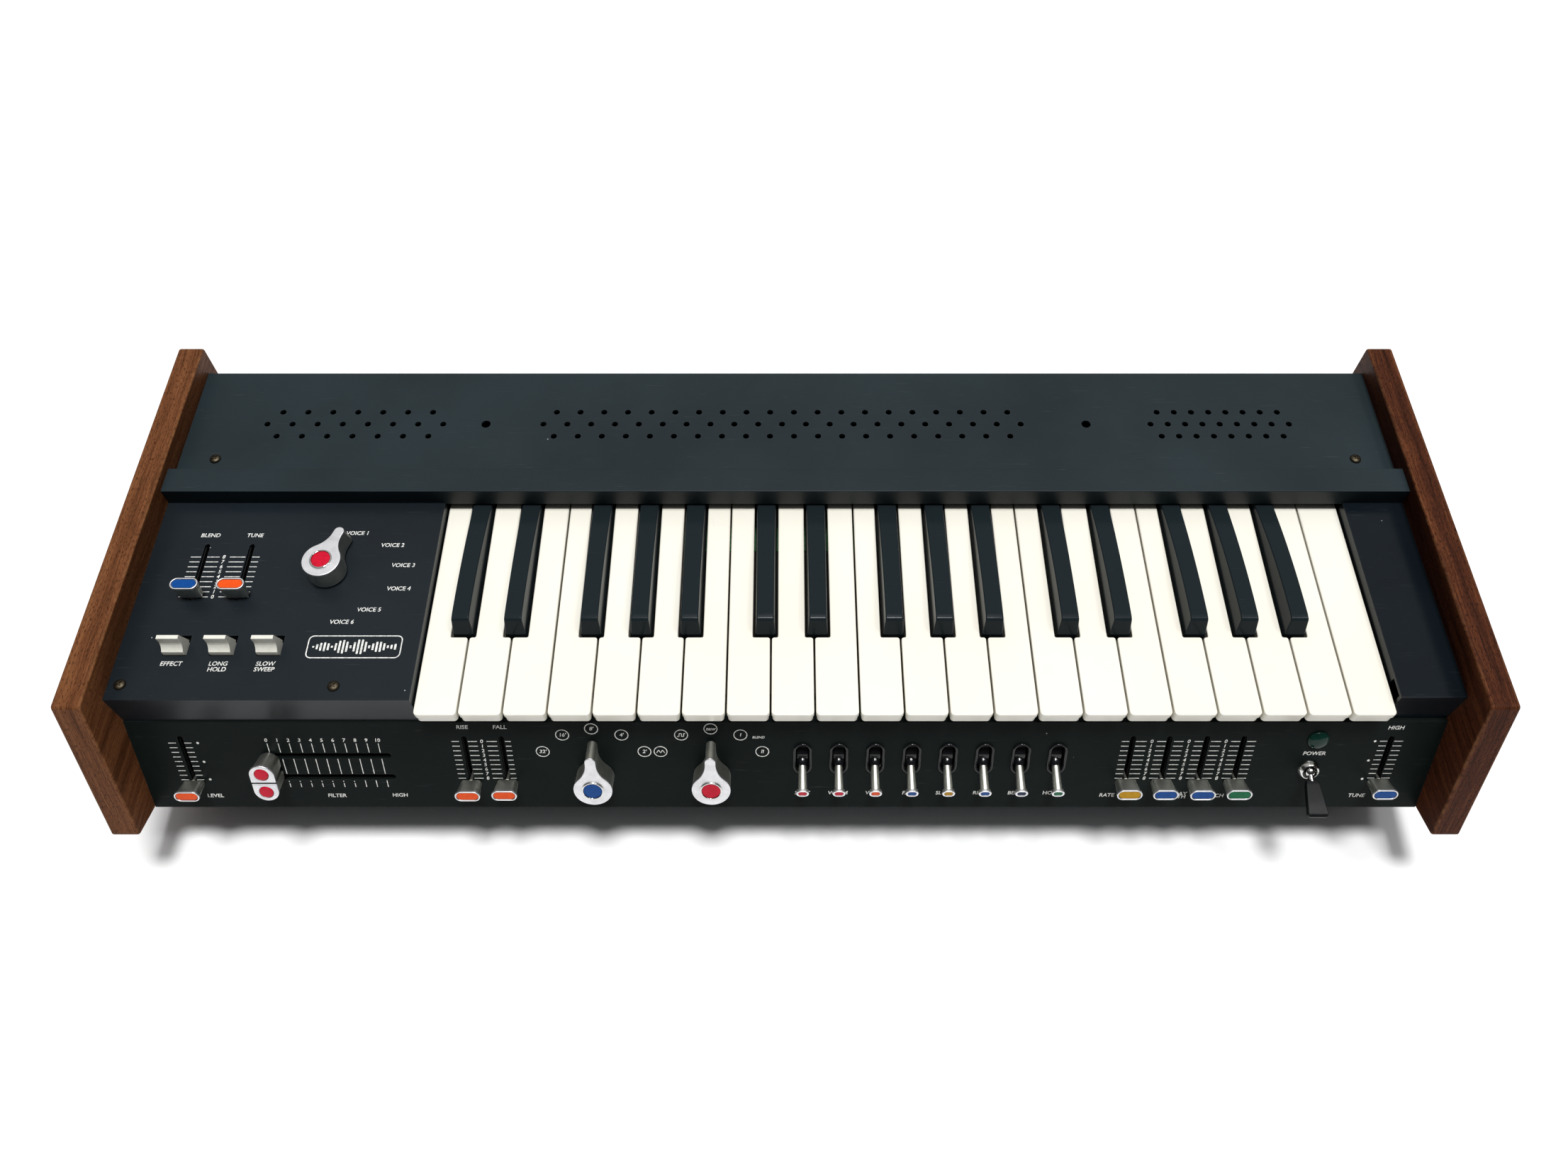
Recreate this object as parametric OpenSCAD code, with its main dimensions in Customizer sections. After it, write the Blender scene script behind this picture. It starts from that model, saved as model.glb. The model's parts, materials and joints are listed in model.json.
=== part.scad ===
// Thirty-seven key analogue synthesizer with wood cheeks.
// X runs along the keyboard, Y runs from the player to the back, Z is up.
// The origin is on the floor, under the middle of the case.

/* [Case] */
// Overall width across both wood cheeks
case_w = 744; // [742:1:748]
// Depth of the wood cheeks, rounded nose to back edge
case_d = 279.8; // [279.3:0.1:280.3]
// Height of the cheek tops above the floor
case_h = 139.5; // [138:0.5:141]
// Thickness of each wood cheek
cheek_t = 15; // [14:0.5:16]
// Radius of the cheek corners
cheek_r = 2.5; // [2:0.5:4]
// Height of the rubber feet
foot_h = 9; // [8:0.5:10]
// Thickness of the folded steel sheet
sheet_t = 1.5; // [1.2:0.1:2]
// Thickness of the two control panels
panel_t = 2; // [1.5:0.1:2.5]

/* [Cheek outline] */
// How far the top front corner lies behind the nose
brow_back = 34.5; // [30:0.5:40]
// Height of the nose above the floor
nose_z = 50; // [48:1:52]
// Slope of the underside behind the nose, in degrees
belly_slope = 20.4; // [20:0.1:21]

/* [Front panel] */
// Y of the front panel's top edge
front_y = -94.4; // [-95:0.1:-94]
// Height of the front panel's top edge
front_z = 98.8; // [98:0.1:99]
// Lean of the front panel from upright, in degrees
front_lean = 24.74; // [24:0.1:25.5]

/* [Top] */
// Height of the left control panel and the end block
desk_z = 123; // [122:0.5:124]
// Height of the perforated cover
cover_z = 126; // [125.5:0.1:126.5]
// Height of the rail over the keys
rail_z = 133.8; // [133:0.1:134.5]
// Y of the rail's front face
rail_y = 34.1; // [34:0.1:34.5]
// Depth of the rail, front to back
rail_d = 16.5; // [15:0.5:18]
// Y of the back of the cover
cover_back_y = 131; // [130:0.5:132]

/* [Keyboard] */
// Width of one white key with its gap
key_pitch = 23.55; // [23.5:0.01:23.6]
// X of the first key's left edge
keys_x0 = -196.3; // [-196.6:0.1:-196]
// Y of the white keys' front edge
key_front_y = -99; // [-99.5:0.1:-98.5]
// Height of the white keys' tops
key_z = 116.4; // [116:0.1:117]
// Depth of the white keys' skirts
key_skirt = 8.4; // [8:0.1:8.5]
// Gap between two keys
key_gap = 1.0; // [0.8:0.1:1.2]
// Y of the key pivots
pivot_y = 72; // [70:1:74]
// Height of the key pivots
pivot_z = 106; // [105:0.5:107]
// Width of a black key at its foot
black_w = 11.2; // [10.8:0.1:11.4]
// Width of a black key at its top
black_top_w = 9.4; // [9:0.1:10]
// Y of the black keys' front foot
black_front_y = -50.5; // [-51:0.1:-50]
// Height of a black key above the white ones
black_h = 11.8; // [11:0.1:12.2]

/* [Sliders] */
// Height of a slider cap above its panel
cap_h = 12.2; // [11:0.1:13]
// Height of the two filter caps above the panel
filter_cap_h = 14; // [13:0.5:15]
// Travel of the front panel's sliders
front_travel = 28.2; // [27:0.1:28.4]
// Travel of the left panel's two sliders
desk_travel = 30.5; // [29:0.5:31]
// Travel of the two long filter sliders
filter_travel = 63; // [60:1:64]

/* [Knobs and levers] */
// Radius of a selector knob's round body
knob_r = 10.6; // [10.2:0.1:11]
// Reach of a selector knob's pointer
knob_reach = 25; // [23:0.5:25.5]
// Height of a selector knob
knob_h = 14.5; // [13:0.5:15]
// Reach of the small levers from their pivots
lever_reach = 27.8; // [26:0.1:29]
// Tilt of the small levers at rest, in degrees
lever_tilt = 32; // [30:1:33]

/* [Hidden] */
$fn = 48;
EPS = 0.01;
inner_w = case_w - 2 * cheek_t;
half_in = inner_w / 2;
back_y = case_d / 2;
// The nose's corner point lies ahead of its rounded face
brow_angle = atan2(case_h - nose_z, brow_back);
nose_round = cheek_r * (cos((brow_angle - belly_slope) / 2) / sin((brow_angle + belly_slope) / 2) - 1);
nose_y = -case_d / 2 - nose_round;
belly_y = nose_y + (nose_z - foot_h) / tan(belly_slope);
key_count = 37;
white_count = 22;
rod_r = 1.5;
keys_x1 = keys_x0 + white_count * key_pitch;
octave = 7 * key_pitch;

// Unit vectors of the front panel: down along it, and inwards through it
panel_down = [-sin(front_lean), -cos(front_lean)];
panel_in = [cos(front_lean), -sin(front_lean)];
panel_top = [front_y, front_z];
nose_pt = [nose_y, nose_z];
belly_pt = [belly_y, foot_h];

// Names of the keys from the lowest C to the highest
NOTES = ["c", "cs", "d", "ds", "e", "f", "fs", "g", "gs", "a", "as", "b"];
function key_name(i) = str("key_", NOTES[i % 12], floor(i / 12) + 1);
KEY_NODES = [for (i = [0:key_count - 1]) key_name(i)];

// ---------- Keyboard layout ----------
// Middle of each black key in an octave, in white key widths
BLACK_AT = [0.870, 2.081, 3.834, 4.989, 6.136];
// White or black index of each of the twelve notes
NOTE_INDEX = [0, 0, 1, 1, 2, 3, 2, 4, 3, 5, 4, 6];
NOTE_BLACK = [false, true, false, true, false, false, true, false, true, false, true, false];
cut_w = black_w + 2.6;
cut_y = black_front_y - 1.3;
tail_y = 80;
function octave_x(i) = keys_x0 + floor(i / 12) * octave;
function is_black(i) = NOTE_BLACK[i % 12];
function black_x(i) = octave_x(i) + BLACK_AT[NOTE_INDEX[i % 12]] * key_pitch;
function white_x(i) = octave_x(i) + NOTE_INDEX[i % 12] * key_pitch;
function has_black(i) = i >= 0 && i < key_count && is_black(i);
function tail_left(i) = has_black(i - 1) ? black_x(i - 1) + cut_w / 2 : white_x(i) + key_gap / 2;
function tail_right(i) = has_black(i + 1) ? black_x(i + 1) - cut_w / 2
    : white_x(i) + key_pitch - key_gap / 2;
function hub_x(i) = is_black(i) ? black_x(i) : (tail_left(i) + tail_right(i)) / 2;

// ---------- Places of the controls ----------
// On the front panel: x, then the distance down from the panel's top edge
FRONT_SLIDERS = [[-329.5, 43.2], [-175, 43], [-154.7, 42.5], [189.3, 42], [209.2, 42],
    [229.6, 42.2], [249.7, 42], [329.8, 41.8]];
front_rest_s = 42.3;
filter_x = -283.7;
filter_s = [24, 39.4];
knob_s = 37;
FRONT_KNOB_X = [-105.2, -40.6];
lever_s = 25.6;
lever_depth = 10;
lever_slot = [7.4, 19.4];
LEVER_X = [for (i = [0:7]) 9.4 + 20 * i];
toggle_x = 289.6;
toggle_s = 33.3;
toggle_tilt = 32;
lamp_x = 290.1;
lamp_s = 12.5;
// On the left panel: x and y
desk_slider_x = [-326.6, -301.4];
desk_slider_y = -29;
desk_knob = [-254.5, -14.5];
desk_knob_turn = -18;
PADDLE_X = [-326.5, -301.4, -276.3];
paddle_y = -62.4;
paddle_depth = 7;
DESK_SCREWS = [[-350.3, -84.6], [-237.7, -85.4]];
COVER_SCREWS = [[-336, 63.5], [336, 63.5]];
JACK_X = [250, 280];
jack_z = 62;
jack_r = 3.25;
jack_depth = 16;
gland_x = -300;

// ---------- Helpers ----------
function unit(v) = v / norm(v);
function side(a, b) = let (d = unit(b - a)) [-d[1], d[0]];
function mitre(p, m, n, t) = p + t * (m + n) / (1 + m * n);
// The path moved sideways by t, with mitred corners
function moved(path, t) = let (last = len(path) - 1) [for (i = [0:last])
    let (m = i == 0 ? side(path[0], path[1]) : side(path[i - 1], path[i]),
         n = i == last ? m : side(path[i], path[i + 1]))
    mitre(path[i], m, n, t)];
function reversed(list) = [for (i = [len(list) - 1:-1:0]) list[i]];
// Where the line through p along d meets the line through q along e
function meet(p, d, q, e) = let (k = d[0] * e[1] - d[1] * e[0],
    u = ((q[0] - p[0]) * e[1] - (q[1] - p[1]) * e[0]) / k) p + d * u;

// A side view in Y and Z pulled along X from x0 to x1
module along_x(x0, x1) translate([x0, 0, 0]) rotate([90, 0, 90])
    linear_extrude(x1 - x0) children();

// Folded sheet: the path is its outer face, the thickness goes to its left
module folded(path, t, x0, x1) along_x(x0, x1) polygon(concat(path, reversed(moved(path, t))));

// Front panel frame: x to the right, y up the panel, z out of it
module on_front(x, s, h = 0) translate([x, front_y, front_z]) rotate([90 - front_lean, 0, 0])
    translate([0, -s, h]) children();
module on_desk(p, h = 0) translate([p[0], p[1], desk_z + h]) children();

// A flat bar with round ends, w across X and l along Y, from z0 to z1
module stadium(w, l, z0, z1) translate([0, 0, z0]) linear_extrude(z1 - z0) union() {
    small = min(w, l);
    square([w > l ? w - small : w, l > w ? l - small : l], center = true);
    for (k = [-1, 1]) translate([w > l ? k * (w - small) / 2 : 0, l > w ? k * (l - small) / 2 : 0])
        circle(d = small);
}

module box(x0, x1, y0, y1, z0, z1) translate([x0, y0, z0]) cube([x1 - x0, y1 - y0, z1 - z0]);

// ---------- Case ----------
module cheek_outline() offset(r = cheek_r) offset(delta = -cheek_r)
    polygon([[back_y, foot_h], [back_y, case_h], [nose_y + brow_back, case_h], nose_pt, belly_pt]);

module left_cheek() color("saddlebrown") along_x(-case_w / 2, -half_in) cheek_outline();
module right_cheek() color("saddlebrown") along_x(half_in, case_w / 2) cheek_outline();

// Bottom, sloping belly, and back wall in one folded sheet
tray_lip = 10;
inner_top = panel_top + panel_t * panel_in;
slope = unit(nose_pt - belly_pt);
tray_corner = meet(inner_top, panel_down, belly_pt, slope);
back_wall_y = cover_back_y - sheet_t;
module bottom_tray() color([0.16, 0.17, 0.18]) difference() {
    folded([tray_corner - tray_lip * panel_down, tray_corner, belly_pt, [back_wall_y, foot_h],
        [back_wall_y, cover_z - sheet_t]], sheet_t, -half_in, half_in);
    for (x = JACK_X) translate([x, back_wall_y, jack_z]) rotate([90, 0, 0])
        cylinder(r = jack_r + 2, h = 3 * sheet_t, center = true);
    translate([gland_x, back_wall_y, jack_z]) rotate([90, 0, 0])
            cylinder(r = 6, h = 3 * sheet_t, center = true);
}

// Rows of vent holes: number across, pitch, middle x
VENTS = [[8, 15.1, -258.6], [21, 14.35, -2], [9, 10.4, 261.2]];
vent_row_y = 90.2;
vent_row_pitch = 9.3;
vent_r = 1.9;
module vent_holes() {
    for (g = VENTS, row = [-1:1], i = [0:g[0] - 1 - abs(row)])
        translate([g[2] + (i - (g[0] - 1 - abs(row)) / 2) * g[1], vent_row_y + row * vent_row_pitch,
            cover_z - sheet_t]) cylinder(r = vent_r, h = 4 * sheet_t, center = true, $fn = 16);
    for (x = [-180, 180.8]) translate([x, vent_row_y, cover_z - sheet_t])
        cylinder(r = 2.8, h = 4 * sheet_t, center = true, $fn = 24);
}

cover_front_y = rail_y + sheet_t + 1;
module top_cover() color([0.15, 0.17, 0.19]) difference() {
    union() {
        folded([[cover_back_y, cover_z - 24], [cover_back_y, cover_z], [cover_front_y, cover_z]],
            sheet_t, -half_in, half_in);
        for (x = [-half_in, half_in - sheet_t]) box(x, x + sheet_t, cover_front_y,
            back_wall_y - sheet_t - 0.5, cover_z - 16, cover_z - sheet_t);
    }
    vent_holes();
    for (p = COVER_SCREWS) translate([p[0], p[1], cover_z]) cylinder(r = 1.8, h = 5 * sheet_t, center = true);
}

// Rail over the back ends of the keys, a channel open underneath
rail_lip_z = 121.6;
module nose_rail() color([0.13, 0.14, 0.16])
    folded([[rail_y + rail_d, cover_z], [rail_y + rail_d, rail_z], [rail_y, rail_z], [rail_y, rail_lip_z]],
        sheet_t, -half_in, half_in);

module slot_cut(w, l) stadium(w, l, -3 * panel_t, panel_t);
slot_w = 3;
filter_slot_w = 3.8;
front_slot = front_travel + 8.4;
desk_slot = desk_travel + 7;
filter_slot = filter_travel + 8;
slider_mid_s = front_rest_s - front_travel / 2;

panel_foot = meet(panel_top, panel_down, belly_pt, slope);
module front_panel() color([0.12, 0.14, 0.15]) difference() {
    folded([[front_y + 12, front_z], panel_top, panel_foot], panel_t, -half_in, half_in);
    for (p = FRONT_SLIDERS) on_front(p[0], slider_mid_s) slot_cut(slot_w, front_slot);
    for (s = filter_s) on_front(filter_x + filter_travel / 2, s) rotate([0, 0, 90])
        slot_cut(filter_slot_w, filter_slot);
    for (x = FRONT_KNOB_X) on_front(x, knob_s) cylinder(r = 4.6, h = 5 * panel_t, center = true);
    for (x = LEVER_X) on_front(x, lever_s) stadium(lever_slot[0], lever_slot[1], -2 * panel_t, panel_t);
    on_front(lamp_x, lamp_s) cylinder(r = 4.2, h = 5 * panel_t, center = true);
    on_front(toggle_x, toggle_s) cylinder(r = 5.7, h = 5 * panel_t, center = true);
}

// Left control panel: folded down at the front, at the back and beside the keys
deck_z = 90;
deck_t = 2;
desk_x1 = keys_x0 - 0.4;
desk_front_y = front_y + 0.9;
module control_panel() color([0.13, 0.15, 0.18]) difference() {
    union() {
        folded([[rail_y - 0.1, deck_z + deck_t], [rail_y - 0.1, desk_z], [desk_front_y, desk_z],
            [desk_front_y, front_z]], panel_t, -half_in, desk_x1);
        box(desk_x1 - panel_t, desk_x1, desk_front_y + 14, rail_y - panel_t, deck_z + deck_t,
            desk_z - panel_t);
        box(desk_x1 - panel_t, desk_x1, desk_front_y + panel_t, desk_front_y + 14, front_z, desk_z - panel_t);
    }
    for (x = desk_slider_x) on_desk([x, desk_slider_y + desk_travel / 2]) slot_cut(slot_w, desk_slot);
    on_desk(desk_knob) cylinder(r = 4.6, h = 5 * panel_t, center = true);
    for (x = PADDLE_X) on_desk([x, paddle_y]) box(-6.4, 6.4, -4.8, 7.8, -3 * panel_t, panel_t);
    for (p = DESK_SCREWS) on_desk(p) cylinder(r = 1.8, h = 5 * panel_t, center = true);
}

end_x0 = keys_x1 + 0.5;
module end_block() color([0.07, 0.08, 0.09]) union() {
    folded([[rail_y - 0.1, deck_z + deck_t], [rail_y - 0.1, desk_z], [desk_front_y + 1.5, desk_z],
        [desk_front_y + 1.5, front_z]], panel_t, end_x0, half_in);
    box(end_x0, end_x0 + panel_t, desk_front_y + 14, rail_y - panel_t, deck_z + deck_t, desk_z - panel_t);
}

// ---------- Inside ----------
deck_y0 = -80;
deck_y1 = 86;
deck_half = half_in - 3;
module key_frame() color([0.72, 0.72, 0.70]) union() {
    box(-deck_half, deck_half, deck_y0, deck_y1, deck_z, deck_z + deck_t);
    // Rail that stops the pressed keys
    box(keys_x0, keys_x1, -78, -70, deck_z + deck_t, 100.3);
    // Uprights between the key hubs, and the rod that they hold
    for (i = [0:key_count]) {
        x = i == 0 ? keys_x0 + 0.8 : i == key_count ? keys_x1 - 2.2 : (hub_x(i - 1) + hub_x(i)) / 2;
        box(x - 0.8, x + 0.8, pivot_y - 3, pivot_y + 3, deck_z + deck_t, skirt_z - 0.3);
    }
    translate([keys_x0, pivot_y, pivot_z]) rotate([0, 90, 0])
        cylinder(r = rod_r, h = keys_x1 - keys_x0 - 1.4);
    // Feet down to the tray
    for (x = [-250, -60, 130, 300]) {
        box(x - 1, x + 1, -20, 80, foot_h + sheet_t, deck_z);
        box(x + 1, x + 14, -20, 80, foot_h + sheet_t, foot_h + 2 * sheet_t);
    }
}

board_z = 16;
module board(x0, x1, y0, y1) {
    box(x0, x1, y0, y1, board_z, board_z + 1.6);
    for (x = [x0 + 6, x1 - 6], y = [y0 + 6, y1 - 6])
        translate([x, y, foot_h + sheet_t]) cylinder(r = 2.5, h = board_z - foot_h - sheet_t, $fn = 24);
}
module parts_on(x0, y0, nx, ny, px, py) for (i = [0:nx - 1], j = [0:ny - 1])
    translate([x0 + i * px, y0 + j * py, board_z + 1.6])
        if ((i + j) % 3 == 0) cylinder(r = 3, h = 9, $fn = 20);
        else if ((i + j) % 3 == 1) translate([-2.2, -1.8, 0]) cube([4.4, 3.6, 4.6]);
        else translate([-4.5, -1.2, 0]) cube([9, 2.4, 2.4]);

module electronics() {
    color("darkgreen") board(-228, -72, -8, 72);
    color("darkgreen") board(-40, 116, -8, 72);
    color("darkkhaki") parts_on(-214, 6, 10, 4, 14, 16);
    color("darkkhaki") parts_on(-26, 6, 10, 4, 14, 16);
    // Board with the key contacts, and its row of posts
    color("darkgreen") box(keys_x0 + 2, keys_x1 - 4, 20, 50, deck_z + deck_t, deck_z + deck_t + 1.6);
    color("gold") for (i = [0:key_count - 1])
        box(hub_x(i) - 1.5, hub_x(i) + 1.5, 30, 34, deck_z + deck_t + 1.6, 103.5);
    // Mains transformer: laminated core, two bobbin cheeks and the winding
    color("dimgray") box(160, 216, 20, 64, foot_h + sheet_t, foot_h + sheet_t + 46);
    color("chocolate") box(170, 206, 8, 20, foot_h + sheet_t + 6, foot_h + sheet_t + 40);
    color("chocolate") box(170, 206, 64, 76, foot_h + sheet_t + 6, foot_h + sheet_t + 40);
}

// ---------- Panel hardware ----------
pin_r = 1;
// Slider track behind a panel: a channel box round the carriage
module track(l) difference() {
    box(-5.5, 5.5, -l / 2 - 4, l / 2 + 4, -panel_t - 9, -panel_t);
    box(-4, 4, -l / 2 - 1, l / 2 + 1, -panel_t - 8, -panel_t - 2);
    box(-1.3, 1.3, -l / 2, l / 2, -panel_t - 4, 1);
}
// Rotary switch with a bush for the knob's shaft
module rotary_switch() difference() {
    union() {
        translate([0, 0, -panel_t - 12]) cylinder(r = 11.5, h = 12);
        translate([0, 0, -panel_t]) cylinder(r = 4.5, h = panel_t);
    }
    translate([0, 0, -panel_t - 13]) cylinder(r = 3.05, h = 20);
}
// Switch case behind a small lever, with the pin that the lever turns on
module lever_case() {
    difference() {
        box(-5, 5, -10.9, 10.9, -21, -panel_t);
        box(-3.7, 3.7, -9.7, 9.7, -19.6, 0);
    }
    translate([-4, 0, -lever_depth]) rotate([0, 90, 0]) cylinder(r = pin_r, h = 8, $fn = 24);
}
module lever_bezel() difference() {
    stadium(10.4, 21.8, 0, 1.2);
    stadium(lever_slot[0], lever_slot[1], -1, 2);
}
module paddle_case() {
    difference() {
        box(-8.2, 8.2, -8, 9.8, -15, -panel_t);
        box(-6.9, 6.9, -6.6, 8.6, -13.6, 0);
    }
    translate([-7, 0, -paddle_depth]) rotate([0, 90, 0]) cylinder(r = pin_r, h = 14, $fn = 24);
}
module toggle_bush() {
    difference() {
        union() {
            translate([0, 0, -16]) cylinder(r = 8, h = 16 - panel_t);
            translate([0, 0, -panel_t]) cylinder(r = 5.5, h = panel_t + 3.4);
            cylinder(r = 7.2, h = 2, $fn = 6);
        }
        translate([0, 0, -2]) cylinder(r = 3.8, h = 10);
    }
    translate([-4.5, 0, 2]) rotate([0, 90, 0]) cylinder(r = 0.8, h = 9, $fn = 24);
}
module jack_socket() rotate([-90, 0, 0]) difference() {
    union() {
        translate([0, 0, -jack_depth + sheet_t]) cylinder(r = 8, h = jack_depth - 2 * sheet_t);
        translate([0, 0, -sheet_t]) cylinder(r = jack_r + 1.9, h = sheet_t + 3);
        cylinder(r = 6.5, h = 2, $fn = 6);
    }
    translate([0, 0, -jack_depth + 2 * sheet_t]) cylinder(r = jack_r, h = 30);
}
module cord_gland() rotate([-90, 0, 0]) difference() {
    union() {
        translate([0, 0, -6]) cylinder(r = 8, h = 6 - sheet_t);
        translate([0, 0, -sheet_t]) cylinder(r = 5.9, h = sheet_t + 1);
        cylinder(r1 = 9, r2 = 7, h = 5);
    }
    translate([0, 0, -8]) cylinder(r = 3.4, h = 30);
}
module panel_hardware() color([0.35, 0.36, 0.38]) {
    for (p = FRONT_SLIDERS) on_front(p[0], slider_mid_s) track(front_slot);
    for (s = filter_s) on_front(filter_x + filter_travel / 2, s) rotate([0, 0, 90]) track(filter_slot);
    for (x = desk_slider_x) on_desk([x, desk_slider_y + desk_travel / 2]) track(desk_slot);
    for (x = FRONT_KNOB_X) on_front(x, knob_s) rotary_switch();
    on_desk(desk_knob) rotary_switch();
    for (x = LEVER_X) on_front(x, lever_s) lever_case();
    for (x = LEVER_X) on_front(x, lever_s) lever_bezel();
    for (x = PADDLE_X) on_desk([x, paddle_y]) paddle_case();
    on_front(toggle_x, toggle_s) toggle_bush();
    // Pilot lamp with a domed lens
    on_front(lamp_x, lamp_s) intersection() {
        translate([0, 0, -8]) sphere(r = 9.9);
        translate([0, 0, -panel_t - 6]) cylinder(r = 5.8, h = 20);
        union() {
            cylinder(r = 5.8, h = 6);
            translate([0, 0, -panel_t - 6]) cylinder(r = 4.1, h = panel_t + 7);
        }
    }
    for (x = JACK_X) translate([x, back_wall_y, jack_z]) jack_socket();
    translate([gland_x, back_wall_y, jack_z]) cord_gland();
}

// ---------- Fasteners and feet ----------
module screw_head() difference() {
    intersection() {
        cylinder(r = 3.2, h = 1.8);
        translate([0, 0, -3.4]) sphere(r = 5.1);
    }
    for (a = [0, 90]) rotate([0, 0, a]) box(-2, 2, -0.4, 0.4, 0.8, 3);
}
module pan_screw(l) {
    screw_head();
    translate([0, 0, -l]) cylinder(r = 1.5, h = l, $fn = 20);
}
FOOT_X = [-300, 300];
FOOT_Y = [-14, 116];
module case_screws() color([0.32, 0.27, 0.18]) {
    for (p = DESK_SCREWS) on_desk(p) pan_screw(8);
    for (p = COVER_SCREWS) translate([p[0], p[1], cover_z]) pan_screw(8);
    for (x = [-330, -110, 110, 330]) translate([x, cover_back_y, cover_z - 14]) rotate([-90, 0, 0])
        screw_head();
}
foot_r = 12;
module rubber_feet() color([0.08, 0.08, 0.08]) for (x = FOOT_X, y = FOOT_Y) translate([x, y, 0])
    difference() {
        cylinder(r1 = foot_r - 1.5, r2 = foot_r, h = foot_h);
        translate([0, 0, -EPS]) cylinder(r = 4, h = 4);
    }

// ---------- Moving controls ----------
// Slider: rimmed cap, stem through the slot, carriage in the track
module slider_body(w, l) {
    stadium(w, l, cap_h - 2, cap_h);
    stadium(w - 2, l - 1.6, 1, cap_h - 2);
    box(-0.8, 0.8, -2.5, 2.5, -panel_t - 4.5, 1);
    box(-3.4, 3.4, -3.5, 3.5, -panel_t - 7.5, -panel_t - 4.5);
}
module front_sliders() color([0.85, 0.45, 0.2])
    for (p = FRONT_SLIDERS) on_front(p[0], p[1]) slider_body(14, 6.9);
module desk_sliders() color([0.2, 0.4, 0.7])
    for (x = desk_slider_x) on_desk([x, desk_slider_y]) slider_body(15.2, 7.4);

// Half of an oval cap, its flat side towards the other slider
filter_cap_r = 6.7;
filter_cap_l = 12.4;
filter_gap = 1.2;
filter_seam = 31.9;
module half_oval() intersection() {
    union() {
        translate([0, filter_cap_l - filter_cap_r]) circle(r = filter_cap_r);
        translate([-filter_cap_r, 0]) square([2 * filter_cap_r, filter_cap_l - filter_cap_r]);
    }
    translate([-filter_cap_r, filter_gap / 2]) square([2 * filter_cap_r, filter_cap_l]);
}
module filter_slider(s, turn) on_front(filter_x, s) {
    translate([0, s - filter_seam, 1]) rotate([0, 0, turn]) linear_extrude(filter_cap_h - 1) half_oval();
    rotate([0, 0, 90]) box(-0.8, 0.8, -2.5, 2.5, -panel_t - 4.5, 1);
    rotate([0, 0, 90]) box(-3.4, 3.4, -3.5, 3.5, -panel_t - 7.5, -panel_t - 4.5);
}
module upper_filter_slider() color("silver") filter_slider(filter_s[0], 0);
module lower_filter_slider() color("silver") filter_slider(filter_s[1], 180);

// Selector knob: round body, tapering pointer, shaft into its switch
module selector_knob() {
    difference() {
        union() {
            translate([0, 0, 0.8]) cylinder(r = knob_r, h = knob_h - 0.8);
            translate([0, 0, 0.8]) linear_extrude(knob_h - 0.8) union() {
                polygon([[-8.2, 7.2], [8.2, 7.2], [3.4, 14], [2.9, knob_reach - 2.9],
                    [-2.9, knob_reach - 2.9], [-3.4, 14]]);
                translate([0, knob_reach - 2.9]) circle(r = 2.9);
            }
        }
        translate([0, 0, knob_h - 1]) difference() {
            cylinder(r = 6.4, h = 2);
            cylinder(r = 5.2, h = 2);
        }
    }
    translate([0, 0, -panel_t - 11]) cylinder(r = 3, h = panel_t + 11.8);
}
module voice_selector_knob() color("silver") on_desk(desk_knob) rotate([0, 0, desk_knob_turn])
    selector_knob();
module footage_selector_knob() color("silver") on_front(FRONT_KNOB_X[0], knob_s) selector_knob();
module waveform_selector_knob() color("silver") on_front(FRONT_KNOB_X[1], knob_s) selector_knob();

// Small lever: drum on the pin, rod, and a slanted oval head
module lever_body() translate([0, 0, -lever_depth]) difference() {
    rotate([lever_tilt, 0, 0]) {
        translate([-3.3, 0, 0]) rotate([0, 90, 0]) cylinder(r = 8.4, h = 6.6);
        cylinder(r = 2.1, h = lever_reach - 1, $fn = 32);
        translate([0, 0, lever_reach - 1.6]) rotate([-20, 0, 0]) stadium(7, 5.2, -1, 1.4);
    }
    translate([-5, 0, 0]) rotate([0, 90, 0]) cylinder(r = pin_r + 0.05, h = 10, $fn = 24);
}
module tone_levers() color("gainsboro") for (x = LEVER_X) on_front(x, lever_s) lever_body();

// Rocking paddle: scooped front, sloping back, neck down to its pin
paddle_h = 12;
module paddle_body() difference() {
    union() {
        along_x(-5.8, 5.8) difference() {
            polygon([[-4.4, 0], [5, 0], [1.2, paddle_h], [-1.1, paddle_h], [-1.1, paddle_h - 3], [-4.4, 1.8]]);
            translate([-7.6, 8.6]) circle(r = 6.6);
        }
        box(-5.8, 5.8, -3.9, 3.9, -paddle_depth, 0);
        translate([-5.8, 0, -paddle_depth]) rotate([0, 90, 0]) cylinder(r = 4.6, h = 11.6);
    }
    translate([-8, 0, -paddle_depth]) rotate([0, 90, 0]) cylinder(r = pin_r + 0.05, h = 16, $fn = 24);
}
module effect_paddles() color("ivory") for (x = PADDLE_X) on_desk([x, paddle_y]) paddle_body();

// Power toggle: ball on a pin, neck, and a broad flat handle
toggle_pivot_h = 2;
module power_toggle() color([0.08, 0.08, 0.09]) on_front(toggle_x, toggle_s, toggle_pivot_h) difference() {
    rotate([toggle_tilt, 0, 0]) {
        sphere(r = 3.1);
        cylinder(r = 1.7, h = 8, $fn = 24);
        translate([0, 1.8, 0]) rotate([90, 0, 0]) linear_extrude(3.6)
            polygon([[-3, 6], [3, 6], [5.6, 24], [4.6, 26], [-4.6, 26], [-5.6, 24]]);
    }
    translate([-5, 0, 0]) rotate([0, 90, 0]) cylinder(r = 0.85, h = 10, $fn = 24);
}

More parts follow.
